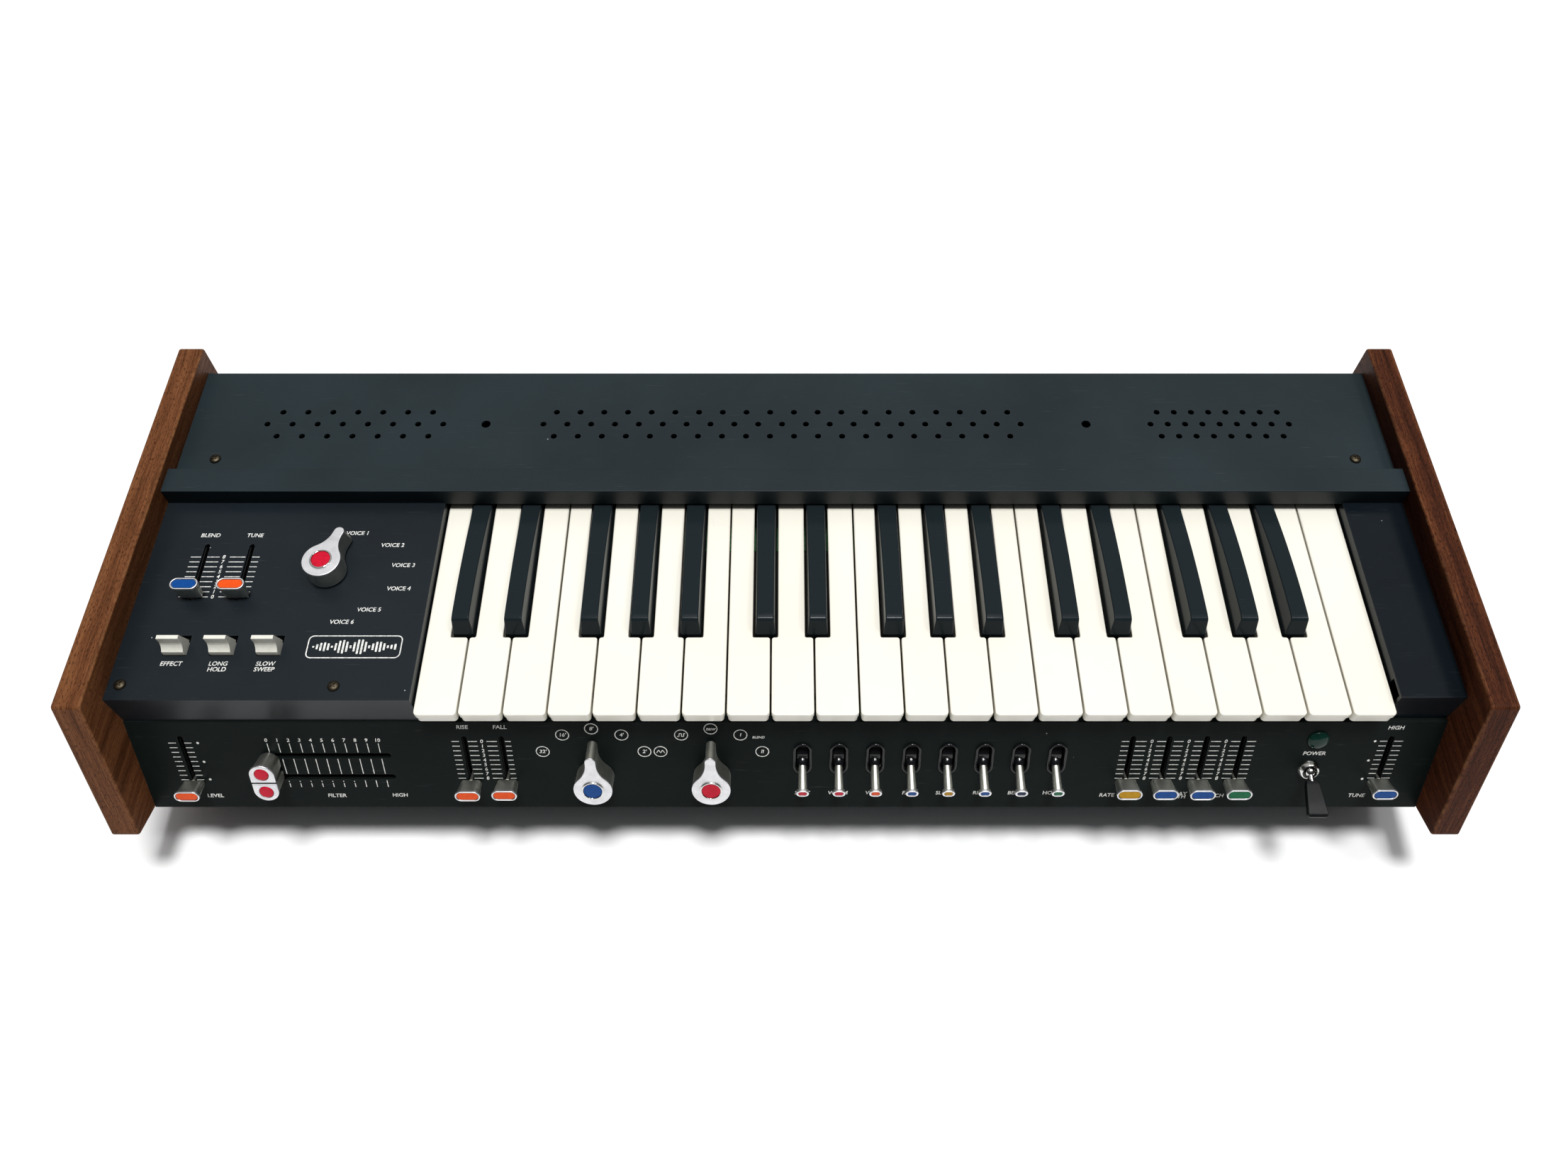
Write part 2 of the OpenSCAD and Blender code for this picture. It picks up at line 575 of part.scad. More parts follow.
// ---------- Keys ----------
module hub_bore(i) translate([hub_x(i) - 20, pivot_y, pivot_z]) rotate([0, 90, 0])
    cylinder(r = rod_r + 0.05, h = 40);
module hub(i) box(hub_x(i) - 4.4, hub_x(i) + 4.4, 64, tail_y, pivot_z - 5, key_z - 2);

lip_step = 0.8;
plate_t = 2.5;
wall = 1.8;
skirt_z = key_z - key_skirt;
module white_key(i) {
    x0 = white_x(i) + key_gap / 2;
    x1 = white_x(i) + key_pitch - key_gap / 2;
    a = tail_left(i);
    b = tail_right(i);
    color("ivory") difference() {
        union() {
            box(x0, x1, key_front_y, cut_y, key_z - plate_t, key_z);
            box(x0 + lip_step, x1 - lip_step, key_front_y + lip_step, cut_y, skirt_z, key_z);
            box(a, b, cut_y - 1, tail_y, skirt_z, key_z);
            hub(i);
        }
        box(x0 + lip_step + wall, x1 - lip_step - wall, key_front_y + lip_step + wall, cut_y - wall,
            skirt_z - 1, key_z - plate_t);
        box(a + wall, b - wall, cut_y - 6, 62, skirt_z - 1, key_z - plate_t);
        hub_bore(i);
    }
}

// Top line of a black key: it falls away towards the back
black_crown_y = black_front_y + 6.5;
black_fall = 0.00131;
function black_top(y) = key_z + black_h - black_fall * pow(y - black_crown_y, 2);
module black_side() polygon(concat(
    [[62, skirt_z], [black_front_y, skirt_z], [black_front_y, key_z + 0.4],
     [black_front_y + 2.6, key_z + 8.4], [black_front_y + 3.9, key_z + 10.7]],
    [for (y = [black_crown_y:8:44]) [y, black_top(y)]],
    [[50, key_z], [tail_y, key_z], [tail_y, key_z - 3], [62, key_z - 3]]));
module black_key(i) {
    x = black_x(i);
    color([0.05, 0.05, 0.06]) difference() {
        union() {
            intersection() {
                along_x(x - black_w / 2, x + black_w / 2) black_side();
                translate([x, tail_y + 1, 0]) rotate([90, 0, 0]) linear_extrude(tail_y + 60)
                    polygon([[-black_w / 2, 90], [black_w / 2, 90], [black_w / 2, key_z],
                        [black_top_w / 2, key_z + black_h + 1], [-black_top_w / 2, key_z + black_h + 1],
                        [-black_w / 2, key_z]]);
            }
            hub(i);
        }
        box(x - black_w / 2 + wall, x + black_w / 2 - wall, black_front_y + wall, 60, skirt_z - 1, key_z - 1);
        hub_bore(i);
    }
}
module key(i) if (is_black(i)) black_key(i); else white_key(i);

left_cheek();
right_cheek();
bottom_tray();
top_cover();
nose_rail();
front_panel();
control_panel();
end_block();
key_frame();
electronics();
panel_hardware();
case_screws();
rubber_feet();
voice_selector_knob();
footage_selector_knob();
waveform_selector_knob();
upper_filter_slider();
lower_filter_slider();
desk_sliders();
front_sliders();
tone_levers();
effect_paddles();
power_toggle();
for (i = [0:key_count - 1]) key(i);
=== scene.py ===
"""Looks for a thirty-seven key synthesizer with wood cheeks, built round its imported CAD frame."""

import json
import math

import bmesh
import bpy
from mathutils import Matrix, Vector


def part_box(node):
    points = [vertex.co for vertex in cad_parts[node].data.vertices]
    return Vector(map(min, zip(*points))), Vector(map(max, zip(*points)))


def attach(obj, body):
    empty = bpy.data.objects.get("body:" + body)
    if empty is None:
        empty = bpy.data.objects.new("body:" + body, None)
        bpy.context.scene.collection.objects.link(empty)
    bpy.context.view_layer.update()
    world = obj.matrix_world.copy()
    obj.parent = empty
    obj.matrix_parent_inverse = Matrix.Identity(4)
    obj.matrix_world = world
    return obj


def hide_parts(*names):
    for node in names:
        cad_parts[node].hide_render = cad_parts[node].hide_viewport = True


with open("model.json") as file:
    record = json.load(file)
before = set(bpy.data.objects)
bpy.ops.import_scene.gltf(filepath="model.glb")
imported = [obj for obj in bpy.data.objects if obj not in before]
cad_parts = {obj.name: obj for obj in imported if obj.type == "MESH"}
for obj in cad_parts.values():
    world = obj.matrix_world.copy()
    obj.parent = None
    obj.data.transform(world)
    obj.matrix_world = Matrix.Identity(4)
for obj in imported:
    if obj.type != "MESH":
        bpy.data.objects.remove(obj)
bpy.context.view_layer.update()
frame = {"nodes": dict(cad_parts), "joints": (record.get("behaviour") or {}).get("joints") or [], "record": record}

MM = 0.001
TO_METRES = Matrix.Scale(MM, 4)
joints = {joint["name"]: joint for joint in frame["joints"]}


# ---------- Camera, light and floor ----------
def aim(obj, place, target):
    obj.location = place
    obj.rotation_mode = "QUATERNION"
    obj.rotation_quaternion = (Vector(target) - Vector(place)).to_track_quat("-Z", "Y")


def sun(name, place, strength, spread):
    """Soft distant light that shines from a place towards the origin; spread in degrees"""
    lamp = bpy.data.lights.new(name, "SUN")
    lamp.energy = strength
    lamp.angle = math.radians(spread)
    obj = bpy.data.objects.new(name, lamp)
    bpy.context.scene.collection.objects.link(obj)
    aim(obj, place, (0, 0, 0))


CAMERA_PLACE = (-0.0008, -0.3791, 0.687)
CAMERA_PITCH = 32.17
LENS = 27.67
SENSOR = 36


def set_camera():
    lens = bpy.data.cameras.new("camera")
    lens.sensor_width = SENSOR
    lens.lens = LENS
    camera = bpy.data.objects.new("camera", lens)
    camera.location = CAMERA_PLACE
    camera.rotation_euler = (math.radians(CAMERA_PITCH), 0, 0)
    bpy.context.scene.collection.objects.link(camera)
    bpy.context.scene.camera = camera


def set_world():
    """Dim room, brighter overhead and behind, with a soft light above and one to the right"""
    world = bpy.data.worlds.new("studio")
    bpy.context.scene.world = world
    world.use_nodes = True
    tree = world.node_tree
    direction = add(tree, "ShaderNodeSeparateXYZ", {0: add(tree, "ShaderNodeTexCoord").outputs["Generated"]})
    behind = math_node(tree, "MULTIPLY", direction.outputs[1], 0.5)
    height = math_node(tree, "ADD", direction.outputs[2], behind)
    sky = tree.nodes["Background"]
    sky.inputs["Color"].default_value = (1, 1, 1, 1)
    tree.links.new(remap(tree, height, 0.5, 1.1, 0.04, 0.62), sky.inputs["Strength"])
    bpy.context.scene.view_settings.view_transform = "Standard"
    sun("overhead_light", (0.05, -0.03, 1.0), 2.8, 14)
    sun("side_light", (0.47, 0.0, 1.0), 0.5, 10)


FLOOR_HALF = 6


def set_floor():
    mesh = bpy.data.meshes.new("floor")
    corners = [(x * FLOOR_HALF, y * FLOOR_HALF, 0) for x, y in ((-1, -1), (1, -1), (1, 1), (-1, 1))]
    mesh.from_pydata(corners, [], [(0, 1, 2, 3)])
    floor = bpy.data.objects.new("floor", mesh)
    bpy.context.scene.collection.objects.link(floor)
    mesh.materials.append(studio_paper())


# ---------- Shader building ----------
def add(tree, kind, inputs=None, **settings):
    """A new node: inputs are values or other nodes' sockets, settings are its own properties"""
    made = tree.nodes.new(kind)
    for name, value in settings.items():
        setattr(made, name, value)
    for key, value in (inputs or {}).items():
        if isinstance(value, bpy.types.NodeSocket):
            tree.links.new(value, made.inputs[key])
        else:
            made.inputs[key].default_value = value
    return made


def math_node(tree, operation, first, second=0.0, clamp=False):
    return add(tree, "ShaderNodeMath", {0: first, 1: second}, operation=operation, use_clamp=clamp).outputs[0]


def blend_colour(tree, share, first, second, mode="MIX"):
    mixer = add(tree, "ShaderNodeMix", {0: share, 6: first, 7: second}, data_type="RGBA", blend_type=mode)
    return mixer.outputs[2]


def stretch(tree, vector, scale, turn=(0, 0, 0)):
    return add(tree, "ShaderNodeMapping", {"Vector": vector, "Scale": scale, "Rotation": turn}).outputs[0]


def noise(tree, vector, scale, detail=3.0, rough=0.55):
    return add(tree, "ShaderNodeTexNoise",
               {"Vector": vector, "Scale": scale, "Detail": detail, "Roughness": rough}).outputs["Fac"]


def remap(tree, value, low, high, to_low=0.0, to_high=1.0):
    return add(tree, "ShaderNodeMapRange", {"Value": value, "From Min": low, "From Max": high,
                                            "To Min": to_low, "To Max": to_high}).outputs[0]


def new_group(name, inputs, outputs):
    """A shader group: its tree, its inputs' sockets and its outputs' sockets"""
    tree = bpy.data.node_groups.new(name, "ShaderNodeTree")
    kinds = {"value": "NodeSocketFloat", "colour": "NodeSocketColor", "vector": "NodeSocketVector"}
    for label, kind, start in inputs:
        socket = tree.interface.new_socket(label, in_out="INPUT", socket_type=kinds[kind])
        if start is not None:
            socket.default_value = start
    for label, kind in outputs:
        tree.interface.new_socket(label, in_out="OUTPUT", socket_type=kinds[kind])
    return tree, tree.nodes.new("NodeGroupInput").outputs, tree.nodes.new("NodeGroupOutput").inputs


def worn_edge_group():
    """Mask of the corners that hands and cases have rubbed, broken up by noise"""
    tree, given, out = new_group("worn_edges",
                                 [("Vector", "vector", None), ("Reach", "value", 0.002),
                                  ("Break Up", "value", 400.0), ("Amount", "value", 1.0)],
                                 [("Mask", "value")])
    rounded_normal = add(tree, "ShaderNodeBevel", {"Radius": given["Reach"]}, samples=4).outputs[0]
    true_normal = add(tree, "ShaderNodeNewGeometry").outputs["Normal"]
    facing = add(tree, "ShaderNodeVectorMath", {0: rounded_normal, 1: true_normal}, operation="DOT_PRODUCT")
    edge = remap(tree, facing.outputs["Value"], 0.99, 0.82)
    patchy = remap(tree, noise(tree, given["Vector"], given["Break Up"], 4, 0.65), 0.35, 0.62)
    mask = math_node(tree, "MULTIPLY", math_node(tree, "MULTIPLY", edge, patchy), given["Amount"], True)
    tree.links.new(mask, out["Mask"])
    return tree


def dust_group():
    """Mask of small pale specks that lie on a dark surface"""
    tree, given, out = new_group("dust_specks",
                                 [("Vector", "vector", None), ("Scale", "value", 300.0),
                                  ("Size", "value", 0.1), ("Share", "value", 0.05)],
                                 [("Mask", "value")])
    cells = add(tree, "ShaderNodeTexVoronoi", {"Vector": given["Vector"], "Scale": given["Scale"]})
    speck = math_node(tree, "LESS_THAN", cells.outputs["Distance"], given["Size"])
    pick = add(tree, "ShaderNodeSeparateColor", {"Color": cells.outputs["Color"]}).outputs[0]
    chosen = math_node(tree, "LESS_THAN", pick, given["Share"])
    tree.links.new(math_node(tree, "MULTIPLY", speck, chosen), out["Mask"])
    return tree


def handling_group():
    """Roughness that varies as on a handled surface: soft smudges and fine hairline scuffs"""
    tree, given, out = new_group("handling",
                                 [("Vector", "vector", None), ("Smudge Scale", "value", 20.0),
                                  ("Base", "value", 0.4), ("Spread", "value", 0.1)],
                                 [("Roughness", "value"), ("Scuffs", "value")])
    smudge = noise(tree, given["Vector"], given["Smudge Scale"], 5, 0.6)
    hair = noise(tree, stretch(tree, given["Vector"], (60, 1400, 900), (0, 0, 0.5)), 1.0, 2, 0.5)
    scuffs = remap(tree, hair, 0.68, 0.78)
    swing = math_node(tree, "MULTIPLY", math_node(tree, "SUBTRACT", smudge, 0.5), given["Spread"])
    tree.links.new(math_node(tree, "ADD", given["Base"], swing, True), out["Roughness"])
    tree.links.new(scuffs, out["Scuffs"])
    return tree


def wood_group():
    """Straight-grained veneer: broad bands, fine streaks and short dark pores along U"""
    tree, given, out = new_group("veneer_grain",
                                 [("Vector", "vector", None), ("Dark", "colour", (0, 0, 0, 1)),
                                  ("Middle", "colour", (0, 0, 0, 1)), ("Light", "colour", (0, 0, 0, 1))],
                                 [("Color", "colour"), ("Height", "value"), ("Roughness", "value")])
    drift = noise(tree, stretch(tree, given["Vector"], (14, 30, 1)), 1.0, 3)
    bent = add(tree, "ShaderNodeVectorMath", {0: given["Vector"], 1: (0, 0, 0)}, operation="ADD")
    shift = add(tree, "ShaderNodeCombineXYZ", {"Y": math_node(tree, "MULTIPLY", drift, 0.006)}).outputs[0]
    tree.links.new(shift, bent.inputs[1])
    bands = noise(tree, stretch(tree, bent.outputs[0], (5, 210, 1)), 1.0, 4, 0.6)
    streaks = noise(tree, stretch(tree, bent.outputs[0], (40, 1300, 1)), 1.0, 3, 0.6)
    pores = noise(tree, stretch(tree, given["Vector"], (420, 1500, 1)), 1.0, 2, 0.5)
    flecks = noise(tree, stretch(tree, given["Vector"], (330, 900, 1)), 1.0, 3, 0.6)
    tone = add(tree, "ShaderNodeMix", {0: 0.45, 2: bands, 3: streaks}, data_type="FLOAT").outputs[0]
    low = blend_colour(tree, remap(tree, tone, 0.34, 0.5), given["Dark"], given["Middle"])
    body = blend_colour(tree, remap(tree, tone, 0.5, 0.68), low, given["Light"])
    flecked = blend_colour(tree, remap(tree, flecks, 0.55, 0.75, 0, 0.35), body, given["Light"])
    pore_mask = remap(tree, pores, 0.53, 0.64, 0, 0.75)
    pored = blend_colour(tree, pore_mask, flecked, given["Dark"])
    tree.links.new(pored, out["Color"])
    tree.links.new(math_node(tree, "SUBTRACT", 1.0, pore_mask), out["Height"])
    tree.links.new(remap(tree, tone, 0.3, 0.7, 0.52, 0.36), out["Roughness"])
    return tree


GROUPS = {}


def group(tree, maker, inputs):
    """Places a shader group in a material, building it the first time"""
    if maker not in GROUPS:
        GROUPS[maker] = maker()
    placed = tree.nodes.new("ShaderNodeGroup")
    placed.node_tree = GROUPS[maker]
    for key, value in inputs.items():
        if isinstance(value, bpy.types.NodeSocket):
            tree.links.new(value, placed.inputs[key])
        else:
            placed.inputs[key].default_value = value
    return placed.outputs


MATERIALS = {}


def material(maker):
    """One material for each maker function, built the first time it is asked for"""
    if maker not in MATERIALS:
        MATERIALS[maker] = maker()
    return MATERIALS[maker]


def new_material(name, **constants):
    """A material with its tree, its Principled shader and its Object coordinates"""
    made = bpy.data.materials.new(name)
    made.use_nodes = True
    tree = made.node_tree
    shader = tree.nodes["Principled BSDF"]
    for key, value in constants.items():
        shader.inputs[key.replace("_", " ")].default_value = value
    return made, tree, shader, add(tree, "ShaderNodeTexCoord").outputs["Object"]


def bump(tree, shader, height, distance, strength=1.0):
    made = add(tree, "ShaderNodeBump", {"Height": height, "Distance": distance, "Strength": strength})
    tree.links.new(made.outputs[0], shader.inputs["Normal"])


def feed(tree, shader, **sockets):
    for key, value in sockets.items():
        tree.links.new(value, shader.inputs[key.replace("_", " ")])


# ---------- Materials ----------
def studio_paper():
    made, tree, shader, where = new_material("studio_paper", Roughness=0.9)
    shader.inputs["Specular IOR Level"].default_value = 0.1
    tone = remap(tree, noise(tree, where, 3.0), 0.3, 0.7, 0.93, 0.95)
    feed(tree, shader, Base_Color=add(tree, "ShaderNodeCombineColor", {0: tone, 1: tone, 2: tone}).outputs[0])
    return made


def walnut():
    made, tree, shader, where = new_material("walnut", Coat_Weight=0.0, Coat_Roughness=0.3)
    shader.inputs["Specular IOR Level"].default_value = 0.06
    grain_map = add(tree, "ShaderNodeUVMap", uv_map="grain").outputs[0]
    across = add(tree, "ShaderNodeSeparateXYZ", {0: where}).outputs[0]
    # Painted shade: the right cheek gets darker copies of the same walnut colours, blended in along X, so it looks
    # shaded.
    right_cheek_painted_shade = remap(tree, across, -0.1, 0.1)
    dark, middle, light = [blend_colour(tree, right_cheek_painted_shade, left, right) for left, right in (
        ((0.036, 0.012, 0.004, 1), (0.012, 0.0038, 0.002, 1)),
        ((0.135, 0.048, 0.018, 1), (0.066, 0.019, 0.008, 1)),
        ((0.225, 0.092, 0.036, 1), (0.145, 0.048, 0.018, 1)))]
    grain = group(tree, wood_group, {"Vector": grain_map, "Dark": dark, "Middle": middle, "Light": light})
    worn = group(tree, worn_edge_group, {"Vector": where, "Reach": 0.0022, "Break Up": 220.0, "Amount": 0.9})
    nicks = group(tree, dust_group, {"Vector": where, "Scale": 130.0, "Size": 0.13, "Share": 0.03})
    pale = math_node(tree, "MAXIMUM", worn["Mask"], math_node(tree, "MULTIPLY", nicks["Mask"], 0.5))
    colour = blend_colour(tree, pale, grain["Color"], (0.37, 0.17, 0.07, 1))
    feed(tree, shader, Base_Color=colour, Roughness=grain["Roughness"])
    bump(tree, shader, grain["Height"], 0.00012, 0.6)
    return made


def paint(name, colour, worn_colour, base, spread, level, grain_depth, grain_scale=1500.0, dust=0.03):
    """Black case paint: fine texture, smudges, hairline scuffs, specks of dust and rubbed edges"""
    made, tree, shader, where = new_material(name)
    shader.inputs["Specular IOR Level"].default_value = level
    hand = group(tree, handling_group, {"Vector": where, "Smudge Scale": 14.0, "Base": base, "Spread": spread})
    specks = group(tree, dust_group, {"Vector": where, "Scale": 120.0, "Size": 0.045, "Share": dust})
    worn = group(tree, worn_edge_group, {"Vector": where, "Reach": 0.0006, "Break Up": 500.0, "Amount": 0.35})
    cloudy = remap(tree, noise(tree, where, 9.0, 4), 0.3, 0.7, 0.75, 1.25)
    tinted = blend_colour(tree, 1.0, colour, add(tree, "ShaderNodeCombineColor",
                                                 {0: cloudy, 1: cloudy, 2: cloudy}).outputs[0], "MULTIPLY")
    marked = blend_colour(tree, math_node(tree, "MULTIPLY", hand["Scuffs"], 0.05), tinted, (0.3, 0.32, 0.33, 1))
    rubbed = blend_colour(tree, worn["Mask"], marked, worn_colour)
    dusty = blend_colour(tree, math_node(tree, "MULTIPLY", specks["Mask"], 0.55), rubbed, (0.5, 0.52, 0.5, 1))
    feed(tree, shader, Base_Color=dusty, Roughness=hand["Roughness"])
    bump(tree, shader, noise(tree, where, grain_scale, 2), grain_depth, 0.5)
    return made


def cover_paint():
    return paint("cover_paint", (0.0105, 0.0185, 0.0225, 1), (0.09, 0.1, 0.1, 1), 0.46, 0.16, 0.2, 0.00006)


def desk_paint():
    return paint("desk_paint", (0.0062, 0.0100, 0.0135, 1), (0.12, 0.12, 0.11, 1), 0.36, 0.16, 0.2, 0.00003)


def front_paint():
    return paint("front_paint", (0.0055, 0.0085, 0.0080, 1), (0.08, 0.08, 0.075, 1), 0.42, 0.14, 0.05, 0.00003)


def gloss_paint():
    return paint("gloss_paint", (0.0045, 0.0075, 0.0105, 1), (0.1, 0.1, 0.1, 1), 0.2, 0.12, 0.18, 0.00002)


def dark_steel():
    return paint("dark_steel", (0.016, 0.012, 0.009, 1), (0.16, 0.15, 0.14, 1), 0.5, 0.1, 0.3, 0.00004)


def screen_print():
    """White screen print, a little thin in places"""
    made, tree, shader, where = new_material("screen_print", Roughness=0.55)
    thin = remap(tree, noise(tree, where, 900.0, 3), 0.3, 0.62)
    feed(tree, shader, Base_Color=blend_colour(tree, thin, (0.42, 0.43, 0.41, 1), (0.86, 0.86, 0.82, 1)))
    return made


def key_ivory():
    """White key plastic, a little yellowed and polished by playing"""
    made, tree, shader, where = new_material("key_ivory", Coat_Weight=0.25, Coat_Roughness=0.12)
    shader.inputs["Specular IOR Level"].default_value = 0.45
    cloud = remap(tree, noise(tree, where, 11.0, 4), 0.35, 0.7)
    clean = blend_colour(tree, cloud, (0.84, 0.81, 0.71, 1), (0.87, 0.85, 0.76, 1))
    worn = group(tree, worn_edge_group, {"Vector": where, "Reach": 0.0009, "Break Up": 160.0, "Amount": 0.35})
    specks = group(tree, dust_group, {"Vector": where, "Scale": 90.0, "Size": 0.035, "Share": 0.03})
    aged = blend_colour(tree, worn["Mask"], clean, (0.66, 0.62, 0.49, 1))
    spotted = blend_colour(tree, math_node(tree, "MULTIPLY", specks["Mask"], 0.4), aged, (0.3, 0.27, 0.2, 1))
    hand = group(tree, handling_group, {"Vector": where, "Smudge Scale": 35.0, "Base": 0.3, "Spread": 0.14})
    feed(tree, shader, Base_Color=spotted, Roughness=hand["Roughness"])
    return made


def key_ebony():
    """Black key plastic: gloss, with a faint haze of fine scuffs on top"""
    made, tree, shader, where = new_material("key_ebony", Coat_Weight=0.06, Coat_Roughness=0.04)
    shader.inputs["Specular IOR Level"].default_value = 0.06
    hand = group(tree, handling_group, {"Vector": where, "Smudge Scale": 60.0, "Base": 0.22, "Spread": 0.12})
    haze = math_node(tree, "MULTIPLY", hand["Scuffs"], 0.05)
    feed(tree, shader, Base_Color=blend_colour(tree, haze, (0.0105, 0.0160, 0.0190, 1), (0.2, 0.2, 0.2, 1)),
         Roughness=hand["Roughness"])
    return made


def metal(name, colour, base, spread, brush=(400, 400, 400), depth=0.000004):
    """Bare or plated metal with a fine directional grain and finger smudges"""
    made, tree, shader, where = new_material(name, Metallic=1.0)
    hand = group(tree, handling_group, {"Vector": where, "Smudge Scale": 120.0, "Base": base, "Spread": spread})
    tarnish = remap(tree, noise(tree, where, 260.0, 4), 0.3, 0.75, 1.0, 0.82)
    toned = blend_colour(tree, 1.0, colour, add(tree, "ShaderNodeCombineColor",
                                                {0: tarnish, 1: tarnish, 2: tarnish}).outputs[0], "MULTIPLY")
    feed(tree, shader, Base_Color=toned, Roughness=hand["Roughness"])
    bump(tree, shader, noise(tree, stretch(tree, where, brush), 1.0, 2), depth, 0.4)
    return made


def satin_silver():
    return metal("satin_silver", (0.84, 0.84, 0.86, 1), 0.42, 0.16, (5000, 700, 700))


def smoked_chrome():
    return metal("smoked_chrome", (0.72, 0.73, 0.66, 1), 0.4, 0.1)


def bright_chrome():
    return metal("bright_chrome", (0.72, 0.72, 0.70, 1), 0.08, 0.06)


def dull_brass():
    return metal("dull_brass", (0.075, 0.062, 0.042, 1), 0.45, 0.2, depth=0.00002)


def track_metal():
    return metal("track_metal", (0.06, 0.06, 0.06, 1), 0.5, 0.1)


def plastic(name, colour, shade, base=0.3, coat=0.06, level=0.15):
    """Coloured or black moulded plastic under a clear gloss"""
    made, tree, shader, where = new_material(name, Coat_Weight=coat, Coat_Roughness=0.08)
    shader.inputs["Specular IOR Level"].default_value = level
    swirl = remap(tree, noise(tree, where, 420.0, 3), 0.3, 0.7)
    hand = group(tree, handling_group, {"Vector": where, "Smudge Scale": 200.0, "Base": base, "Spread": 0.12})
    feed(tree, shader, Base_Color=blend_colour(tree, swirl, colour, shade), Roughness=hand["Roughness"])
    bump(tree, shader, noise(tree, where, 900.0, 2), 0.00001, 0.3)
    return made


def orange_inset():
    return plastic("orange_inset", (0.80, 0.085, 0.006, 1), (0.70, 0.07, 0.006, 1))


def red_inset():
    return plastic("red_inset", (0.60, 0.004, 0.028, 1), (0.46, 0.003, 0.022, 1))


def blue_inset():
    return plastic("blue_inset", (0.001, 0.062, 0.27, 1), (0.001, 0.05, 0.22, 1))


def dark_blue_inset():
    return plastic("dark_blue_inset", (0.004, 0.02, 0.06, 1), (0.003, 0.012, 0.04, 1))


def yellow_inset():
    return plastic("yellow_inset", (0.50, 0.27, 0.004, 1), (0.42, 0.21, 0.003, 1))


def green_inset():
    return plastic("green_inset", (0.002, 0.13, 0.05, 1), (0.002, 0.10, 0.04, 1))


def black_gloss():
    return plastic("black_gloss", (0.005, 0.0055, 0.0065, 1), (0.007, 0.0075, 0.0085, 1), 0.14, 0.25, 0.25)


def black_sleeve():
    return plastic("black_sleeve", (0.005, 0.0055, 0.0065, 1), (0.007, 0.0075, 0.008, 1), 0.38, 0.02, 0.1)


def paddle_ivory():
    return plastic("paddle_ivory", (0.78, 0.775, 0.70, 1), (0.71, 0.70, 0.62, 1), 0.3, 0.3, 0.4)


def lamp_green():
    return plastic("lamp_green", (0.004, 0.028, 0.020, 1), (0.003, 0.018, 0.014, 1), 0.16, 0.15, 0.12)


def foot_rubber():
    return plastic("foot_rubber", (0.018, 0.018, 0.018, 1), (0.028, 0.027, 0.026, 1), 0.75, 0.0, 0.2)


def circuit_board():
    """Green laminate with paler copper tracks under its varnish"""
    made, tree, shader, where = new_material("circuit_board", Coat_Weight=0.3, Coat_Roughness=0.2)
    tracks = add(tree, "ShaderNodeTexBrick", {"Vector": where, "Scale": 130.0, "Color1": (0.02, 0.13, 0.05, 1),
                                              "Color2": (0.03, 0.17, 0.07, 1), "Mortar": (0.09, 0.27, 0.10, 1),
                                              "Mortar Size": 0.06}).outputs["Color"]
    mottled = remap(tree, noise(tree, where, 150.0), 0.3, 0.7, 0.3, 0.5)
    feed(tree, shader, Base_Color=tracks, Roughness=mottled)
    return made


# ---------- Meshes ----------
def link(name, data):
    obj = bpy.data.objects.new(name, data)
    bpy.context.scene.collection.objects.link(obj)
    return obj


def evaluated_mesh(obj):
    graph = bpy.context.evaluated_depsgraph_get()
    return bpy.data.meshes.new_from_object(obj.evaluated_get(graph))


def closed(bm):
    """Joins doubled points of a mesh in millimetres and turns its faces outwards"""
    bmesh.ops.remove_doubles(bm, verts=bm.verts, dist=0.002)
    bmesh.ops.recalc_face_normals(bm, faces=bm.faces)


def to_mesh(bm, place=None):
    mesh = bpy.data.meshes.new("part")
    bm.to_mesh(mesh)
    bm.free()
    if place is not None:
        mesh.transform(place @ TO_METRES)
    return mesh


def rounded(corners, steps=6):
    """Outline through corners (x, y, radius), with an arc at each corner that has a radius"""
    points = []
    for i, (x, y, radius) in enumerate(corners):
        here = Vector((x, y))
        if radius <= 0:
            points.append((x, y))
            continue
        before = (Vector(corners[i - 1][:2]) - here).normalized()
        after = (Vector(corners[(i + 1) % len(corners)][:2]) - here).normalized()
        half = before.angle(after) / 2
        centre = here + (before + after).normalized() * (radius / math.sin(half))
        reach = radius / math.tan(half)
        start = here + before * reach - centre
        end = here + after * reach - centre
        turn = start.angle_signed(end)
        for k in range(steps + 1):
            spoke = start.copy()
            spoke.rotate(Matrix.Rotation(-turn * k / steps, 2))
            points.append(tuple(centre + spoke))
    return points


def arc(cx, cy, radius, start, end, steps=24):
    """Points of an arc, its angles in degrees"""
    angles = [math.radians(start + (end - start) * k / steps) for k in range(steps + 1)]
    return [(cx + radius * math.cos(a), cy + radius * math.sin(a)) for a in angles]


def circle(radius, cx=0.0, cy=0.0, steps=40):
    return arc(cx, cy, radius, 0, 360 * (steps - 1) / steps, steps - 1)


def stadium(width, length, steps=10):
    """Bar with round ends, width along X and length along Y"""
    if width >= length:
        reach = (width - length) / 2
        return arc(reach, 0, length / 2, -90, 90, steps) + arc(-reach, 0, length / 2, 90, 270, steps)
    reach = (length - width) / 2
    return arc(0, reach, width / 2, 0, 180, steps) + arc(0, -reach, width / 2, 180, 360, steps)


def area_of(points):
    return sum(a[0] * b[1] - b[0] * a[1] for a, b in zip(points, points[1:] + points[:1])) / 2


